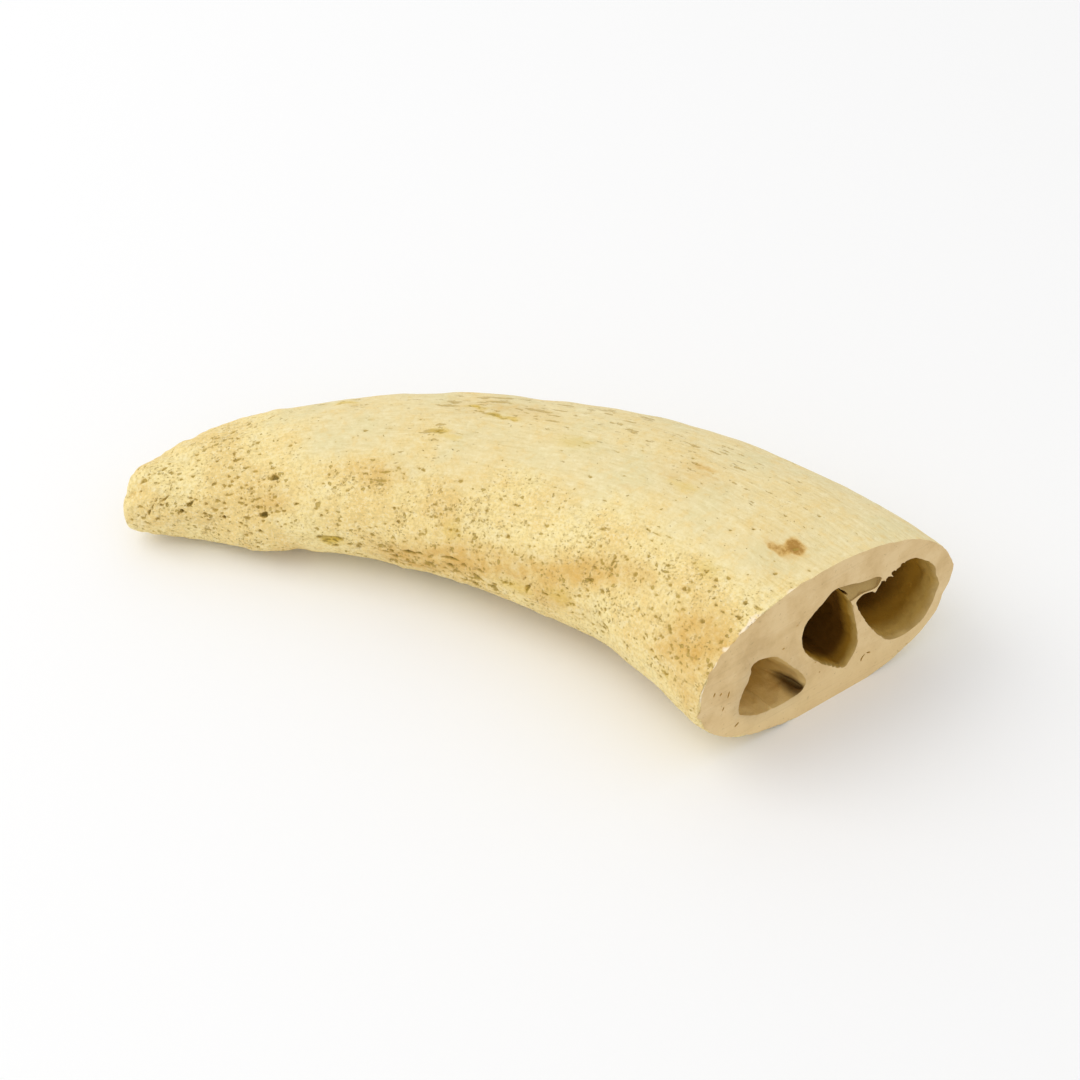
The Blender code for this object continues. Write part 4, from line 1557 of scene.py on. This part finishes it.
@dataclass
class HornCore:
    """The whole bone: its outer skin, its sawn face and its chambers, in one closed mesh."""

    form: HornForm = field(default_factory=HornForm)
    pit_plan: PitPlan = field(default_factory=PitPlan)
    skin_map: SkinMap = field(default_factory=SkinMap)
    wall: BrokenWall = field(default_factory=BrokenWall)
    chambers: tuple[Chamber, ...] = (
        Chamber(
            "near_chamber",
            (
                (-17.5, 27.1), (-20.6, 28.0), (-22.7, 27.4), (-22.9, 25.2), (-23.6, 22.4), (-24.6, 20.6),
                (-25.6, 16.9), (-25.6, 14.1), (-24.4, 12.2), (-20.8, 10.0), (-17.4, 8.9), (-11.6, 8.4),
                (-7.6, 8.7), (-6.0, 9.9), (-5.8, 12.4), (-7.4, 15.6), (-11.1, 20.5), (-14.6, 25.0),
            ),
            (-25.0, 9.5),
            (
                (0.0, 1.00, 1.00, 0.0, 0.0), (1.5, 0.97, 0.96, 0.0, 0.0), (4.0, 0.94, 0.90, 0.0, 0.0),
                (9.0, 0.84, 0.76, 0.0, 0.2), (14.0, 0.72, 0.60, -0.2, 0.8),
                (20.0, 0.54, 0.44, -0.6, 1.6), (27.0, 0.28, 0.22, -1.2, 3.0),
            ),
            0.25,
            rows(Spur, ((-6.1, 9.4), 1.5, -1.6, 1.6, 13.0), ((-15.6, 8.7), 1.6, 0.5, 0.8, 14.0)),
        ),
        Chamber(
            "middle_chamber",
            (
                (1.2, 37.5), (-3.2, 35.2), (-7.0, 32.0), (-8.3, 27.9), (-6.8, 21.9), (-1.8, 15.3),
                (1.5, 12.2), (4.2, 9.9), (6.4, 9.0), (8.2, 11.2), (9.5, 14.3), (9.0, 19.2), (7.2, 26.2),
                (5.9, 30.6),
            ),
            (1.0, 19.2),
            (
                (0.0, 1.00, 1.00, 0.0, 0.0), (7.0, 0.97, 0.95, -0.2, 0.0),
                (18.0, 0.92, 0.88, -1.2, 0.0), (33.0, 0.80, 0.74, -3.5, 0.0),
                (48.0, 0.58, 0.55, -7.0, 0.0), (58.0, 0.28, 0.26, -10.0, 0.0),
            ),
            3.8,
            rows(
                Spur,
                ((0.4, 13.2), 0.8, 0.35), ((1.8, 11.9), 0.7, 0.4), ((3.0, 10.8), 0.6, 0.3),
                ((4.9, 9.5), 0.7, 0.3),
            ),
        ),
        Chamber(
            "far_chamber",
            (
                (7.6, 29.4), (9.1, 30.7), (11.0, 30.6), (13.3, 29.9), (14.9, 31.4), (16.6, 32.1),
                (17.8, 33.0), (20.2, 33.3), (20.6, 34.1), (22.8, 34.0), (24.9, 33.5), (29.2, 30.0),
                (31.8, 26.9), (32.7, 23.5), (34.0, 20.4), (33.6, 17.6), (32.4, 13.7), (29.7, 9.9),
                (25.0, 8.6), (21.2, 9.1), (18.5, 10.8), (15.6, 14.2), (12.6, 18.7), (9.7, 24.1), (8.1, 27.6),
            ),
            (21.0, 19.2),
            (
                (0.0, 1.00, 1.00, 0.0, 0.0), (7.0, 0.96, 0.95, -0.4, 0.0),
                (17.0, 0.88, 0.87, -1.8, 0.0), (30.0, 0.74, 0.73, -5.0, 0.0),
                (42.0, 0.52, 0.50, -9.5, 0.0), (50.0, 0.26, 0.24, -13.0, 0.0),
            ),
            1.5,
            rows(
                Spur,
                ((17.4, 32.7), 0.9, 2.0, -3.0, 0.7), ((16.0, 31.9), 0.7, 0.8), ((19.0, 33.2), 0.7, 0.5),
                ((15.0, 31.4), 0.8, -0.5), ((21.5, 34.1), 0.8, 0.35), ((13.3, 30.0), 1.4, 0.6),
                ((17.0, 12.4), 0.8, 0.3), ((14.2, 16.3), 0.9, 0.3),
            ),
        ),
    )
    marks: tuple[SawnMark, ...] = rows(
        SawnMark,
        (4.7, 33.2, 2.8, 0.65, -48.0, 5.0), (12.0, 8.5, 2.3, 0.55, 62.0, 0.8, 0.4),
        (13.6, 9.3, 1.4, 0.5, -25.0, 0.6), (-25.9, 10.1, 1.5, 0.6, 40.0, 0.8),
        (-29.0, 22.0, 2.2, 0.45, 80.0, 0.5), (-30.3, 18.2, 1.3, 0.4, 70.0, 0.5),
        (-31.3, 23.6, 1.0, 0.5, 60.0, 0.5), (-33.2, 24.6, 1.4, 0.5, 75.0, 0.5),
        (-13.6, 27.3, 0.7, 0.5, 0.0, 0.35), (-3.2, 16.4, 0.5, 0.35, 0.0, 0.3),
        (-1.6, 12.2, 0.5, 0.35, 0.0, 0.3), (-10.0, 32.6, 0.7, 0.3, 30.0, 0.3),
        (26.0, 4.6, 0.8, 0.3, 20.0, 0.3),
    )
    # How fast the sawn marks darken inward: painted shade in the marks.
    mark_shade_rate: float = 22.0
    # How fast the broken ledge darkens inward: painted shade.
    ledge_shade_rate: float = 5.0
    rim_kept: float = 0.0006
    triangles: int = 196000
    face_tolerance: float = 0.00003

    def build(self) -> bpy.types.Object:
        """Builds the bone's mesh and dresses it.

        Returns:
            The object.
        """
        skin = OuterSkin(self.form, self.pit_plan, self.skin_map)
        body = closed_tube("horn_bone", skin.points)
        cutters = [closed_tube(c.name, self.turned(c.grid())) for c in self.chambers]
        cutters.append(closed_tube("broken_wall", self.turned(self.wall.grid())))
        cutters += [closed_tube(f"mark_{k}", self.turned(m.grid())) for k, m in enumerate(self.marks)]
        self.carve(body, cutters)
        self.thin(body)
        self.dress(body)
        self.label(body, skin, cutters)
        for cutter in cutters:
            bpy.data.objects.remove(cutter)
        return body

    def turned(self, grid: Array) -> Array:
        """A chamber's rings in metres, turning the way that closed_tube expects.

        Args:
            grid: Rings of points in mm.

        Returns:
            The rings.
        """
        first = grid[0, :, 1:]
        following = np.roll(first, -1, axis=0)
        area = float(np.sum(first[:, 0] * following[:, 1] - first[:, 1] * following[:, 0]))
        return self.form.settle(grid if area > 0 else grid[:, ::-1])

    @staticmethod
    def carve(body: bpy.types.Object, cutters: Sequence[bpy.types.Object]) -> None:
        """Takes the cutters out of the body.

        Args:
            body: The bone.
            cutters: The chambers, the broken wall and the marks.
        """
        for cutter in cutters:
            taken = body.modifiers.new(cutter.name, "BOOLEAN")
            taken.operation = "DIFFERENCE"
            taken.solver = "MANIFOLD"
            taken.object = cutter
        apply_modifiers(body)

    def thin(self, body: bpy.types.Object) -> None:
        """Thins the mesh where it is plain, to the number of triangles that is wanted.

        Args:
            body: The bone.
        """
        body.data.calc_loop_triangles()
        triangles = len(body.data.loop_triangles)
        LOG.info("%s: %d triangles before thinning", body.name, triangles)
        cut_x = self.form.cut_place[0] * MM
        places = read(body.data.vertices, "co", 3)
        free = np.flatnonzero(places[:, 0] < cut_x - self.rim_kept)
        group = body.vertex_groups.new(name="free")
        group.add(free.tolist(), 1.0, "REPLACE")
        thinned = body.modifiers.new("thin", "DECIMATE")
        thinned.ratio = min(self.triangles / triangles, 1.0)
        thinned.vertex_group = group.name
        thinned.use_collapse_triangulate = True
        apply_modifiers(body)
        low, high = np.array(CAD_BOX)
        points = read(body.data.vertices, "co", 3)
        body.data.vertices.foreach_set("co", np.clip(points, low, high).ravel())

    def label(
        self, body: bpy.types.Object, skin: OuterSkin, cutters: Sequence[bpy.types.Object]
    ) -> None:
        """Gives every point what its finish needs, and every face its finish.

        Args:
            body: The bone.
            skin: The outer skin that the bone was cut from.
            cutters: The chambers, the broken wall and the marks.
        """
        mesh = body.data
        points = read(mesh.vertices, "co", 3)
        skin_points = skin.points.reshape(-1, 3)
        walls = [read(cutter.data.vertices, "co", 3) for cutter in cutters]
        sources = np.vstack([skin_points, *walls])
        tree = kdtree.KDTree(len(sources))
        for k, point in enumerate(sources):
            tree.insert(point, k)
        tree.balance()
        nearest = np.array([tree.find(point)[1] for point in points])
        owner = np.zeros(len(skin_points), int)
        for k, wall in enumerate(walls):
            owner = np.concatenate([owner, np.full(len(wall), k + 1)])
        outside = owner[nearest] == 0
        source = np.where(outside, nearest, 0)
        for name in ("crown", "pit", "ochre", "streaked", "rim"):
            values = skin.fields[name].reshape(-1)[source]
            write(mesh, name, "FLOAT", np.where(outside, values, 0.0))
        write(mesh, "straight", "FLOAT_VECTOR", self.straighten(points, skin, source))
        # Each point's rate of darkening inward: brown stain with painted shade in the chambers, painted
        # shade on the ledge and in the marks.
        marks = [self.mark_shade_rate] * len(self.marks)
        stain_and_shade_rate = np.array([0.0, *(c.stain_and_shade_rate for c in self.chambers), self.ledge_shade_rate, *marks])
        write(mesh, "stain_and_shade_rate", "FLOAT", stain_and_shade_rate[owner[nearest]])
        self.assign_faces(mesh, points, outside)

    @staticmethod
    def straighten(points: Array, skin: OuterSkin, source: Array) -> Array:
        """The points as if the horn were straight.

        Args:
            points: Points in metres.
            skin: The outer skin.
            source: The nearest point of the skin for each.

        Returns:
            Points in mm: along, outward and up.
        """
        forward = skin.fields["forward"].reshape(-1, 2)[source]
        away = (points - skin.points.reshape(-1, 3)[source]) / MM
        along = np.sum(away[:, :2] * forward, axis=1)
        outward = away[:, 0] * forward[:, 1] - away[:, 1] * forward[:, 0]
        moved = np.stack([along, outward, away[:, 2]], axis=1)
        return skin.fields["straight"].reshape(-1, 3)[source] + moved

    def assign_faces(self, mesh: bpy.types.Mesh, points: Array, outside: Array) -> None:
        """Gives every face its finish, and makes the edges of the sawn face sharp.

        Args:
            mesh: The bone's mesh.
            points: Its points in metres.
            outside: True for each point of the outer skin.
        """
        corners = read(mesh.loops, "vertex_index", 1).astype(int).reshape(-1, 3)
        cut_x = self.form.cut_place[0] * MM
        on_cut = cut_x - points[:, 0] < self.face_tolerance
        sawn = on_cut[corners].all(axis=1)
        slots = np.where(sawn, 1, np.where(outside[corners].sum(axis=1) >= 2, 0, 2))
        mesh.polygons.foreach_set("material_index", slots.astype(np.int32))
        mesh.polygons.foreach_set("use_smooth", np.ones(len(slots), bool))
        edge_of = read(mesh.loops, "edge_index", 1).astype(int).reshape(-1, 3)
        touched = np.zeros((len(mesh.edges), 2), bool)
        for side in range(3):
            touched[edge_of[sawn, side], 0] = True
            touched[edge_of[~sawn, side], 1] = True
        mesh.edges.foreach_set("use_edge_sharp", touched.all(axis=1))
        mesh.update()

    def dress(self, body: bpy.types.Object) -> None:
        """Gives the bone its three finishes.

        Args:
            body: The bone.
        """
        body.data.materials.clear()
        body.data.materials.append(OuterBone().build(self.form, self.skin_map))
        body.data.materials.append(SawnBone().build())
        body.data.materials.append(ChamberBone().build(self.form.cut_place))


def read(items: Any, name: str, width: int) -> Array:
    """Reads one property of many items.

    Args:
        items: A mesh's vertices, loops or edges.
        name: The property.
        width: How many numbers it has.

    Returns:
        One row for each item.
    """
    found = np.empty(len(items) * width)
    if name.endswith("index"):
        found = np.empty(len(items) * width, np.int32)
    items.foreach_get(name, found)
    return found.reshape(-1, width) if width > 1 else found


def write(mesh: bpy.types.Mesh, name: str, kind: str, values: Array) -> None:
    """Stores a value at every point of a mesh.

    Args:
        mesh: The mesh.
        name: The attribute's name.
        kind: FLOAT or FLOAT_VECTOR.
        values: One row for each point.
    """
    attribute = mesh.attributes.new(name, kind, "POINT")
    part = "vector" if kind == "FLOAT_VECTOR" else "value"
    attribute.data.foreach_set(part, np.ascontiguousarray(values).ravel())


def apply_modifiers(body: bpy.types.Object) -> None:
    """Replaces an object's mesh by what its modifiers make of it.

    Args:
        body: The object.
    """
    graph = bpy.context.evaluated_depsgraph_get()
    made = bpy.data.meshes.new_from_object(body.evaluated_get(graph), depsgraph=graph)
    old = body.data
    body.modifiers.clear()
    body.data = made
    bpy.data.meshes.remove(old)


@dataclass
class Studio:
    """A plain pale floor, soft light and the camera, in metres and degrees."""

    floor_size: float = 6.0
    floor_colour: Colour = (0.95, 0.95, 0.95)
    fill: float = 0.82
    key_power: float = 7.0
    key_size: float = 1.2
    key_place: tuple[float, float, float] = (-0.55, -0.75, 1.15)
    camera_azimuth: float = 54.0
    camera_elevation: float = 44.0
    camera_distance: float = 0.62
    camera_aim: tuple[float, float, float] = (-0.0004, 0.0072, 0.0083)
    lens: float = 85.0
    sensor: float = 36.0

    def build(self) -> None:
        """Makes the floor, the lights and the camera."""
        self.make_floor()
        self.make_lights()
        self.make_camera()
        bpy.context.scene.view_settings.view_transform = "Standard"

    def make_floor(self) -> None:
        """Lays the floor, which isn't part of the object."""
        half = self.floor_size / 2
        corners = [(-half, -half, 0.0), (half, -half, 0.0), (half, half, 0.0), (-half, half, 0.0)]
        mesh = bpy.data.meshes.new("floor")
        mesh.from_pydata(corners, [], [(0, 1, 2, 3)])
        floor = bpy.data.objects.new("floor", mesh)
        bpy.context.scene.collection.objects.link(floor)
        bench = Bench("floor")
        mesh.materials.append(bench.finish({"Base Color": self.floor_colour, "Roughness": 0.9}))

    def make_lights(self) -> None:
        """Makes an even sky and one large soft lamp."""
        world = bpy.data.worlds.new("sky")
        world.use_nodes = True
        background = world.node_tree.nodes["Background"]
        background.inputs["Color"].default_value = (1.0, 1.0, 1.0, 1.0)
        background.inputs["Strength"].default_value = self.fill
        bpy.context.scene.world = world
        lamp = bpy.data.lights.new("key", "AREA")
        lamp.energy = self.key_power
        lamp.size = self.key_size
        key = bpy.data.objects.new("key", lamp)
        key.location = self.key_place
        key.rotation_euler = (-Vector(self.key_place)).to_track_quat("-Z", "Y").to_euler()
        bpy.context.scene.collection.objects.link(key)

    def make_camera(self) -> None:
        """Sets the camera where the photograph was taken from."""
        azimuth, elevation = math.radians(self.camera_azimuth), math.radians(self.camera_elevation)
        back = Vector((
            math.sin(azimuth) * math.cos(elevation),
            -math.cos(azimuth) * math.cos(elevation),
            math.sin(elevation),
        ))
        data = bpy.data.cameras.new("camera")
        data.lens = self.lens
        data.sensor_width = self.sensor
        camera = bpy.data.objects.new("camera", data)
        camera.location = Vector(self.camera_aim) + back * self.camera_distance
        camera.rotation_euler = (-back).to_track_quat("-Z", "Y").to_euler()
        bpy.context.scene.collection.objects.link(camera)
        bpy.context.scene.camera = camera


def report(piece: bpy.types.Object) -> None:
    """Logs a piece's size.

    Args:
        piece: The piece.
    """
    sizes = " x ".join(f"{size / MM:.1f}" for size in piece.dimensions)
    LOG.info("%s: %s mm, %d faces", piece.name, sizes, len(piece.data.polygons))


def main() -> None:
    """Builds the bone and the studio round the frame."""
    logging.basicConfig(level=logging.INFO, format="%(message)s")
    bone = HornCore().build()
    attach(bone, "root")
    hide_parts("horn")
    report(bone)
    Studio().build()


if __name__ == "__main__":
    main()
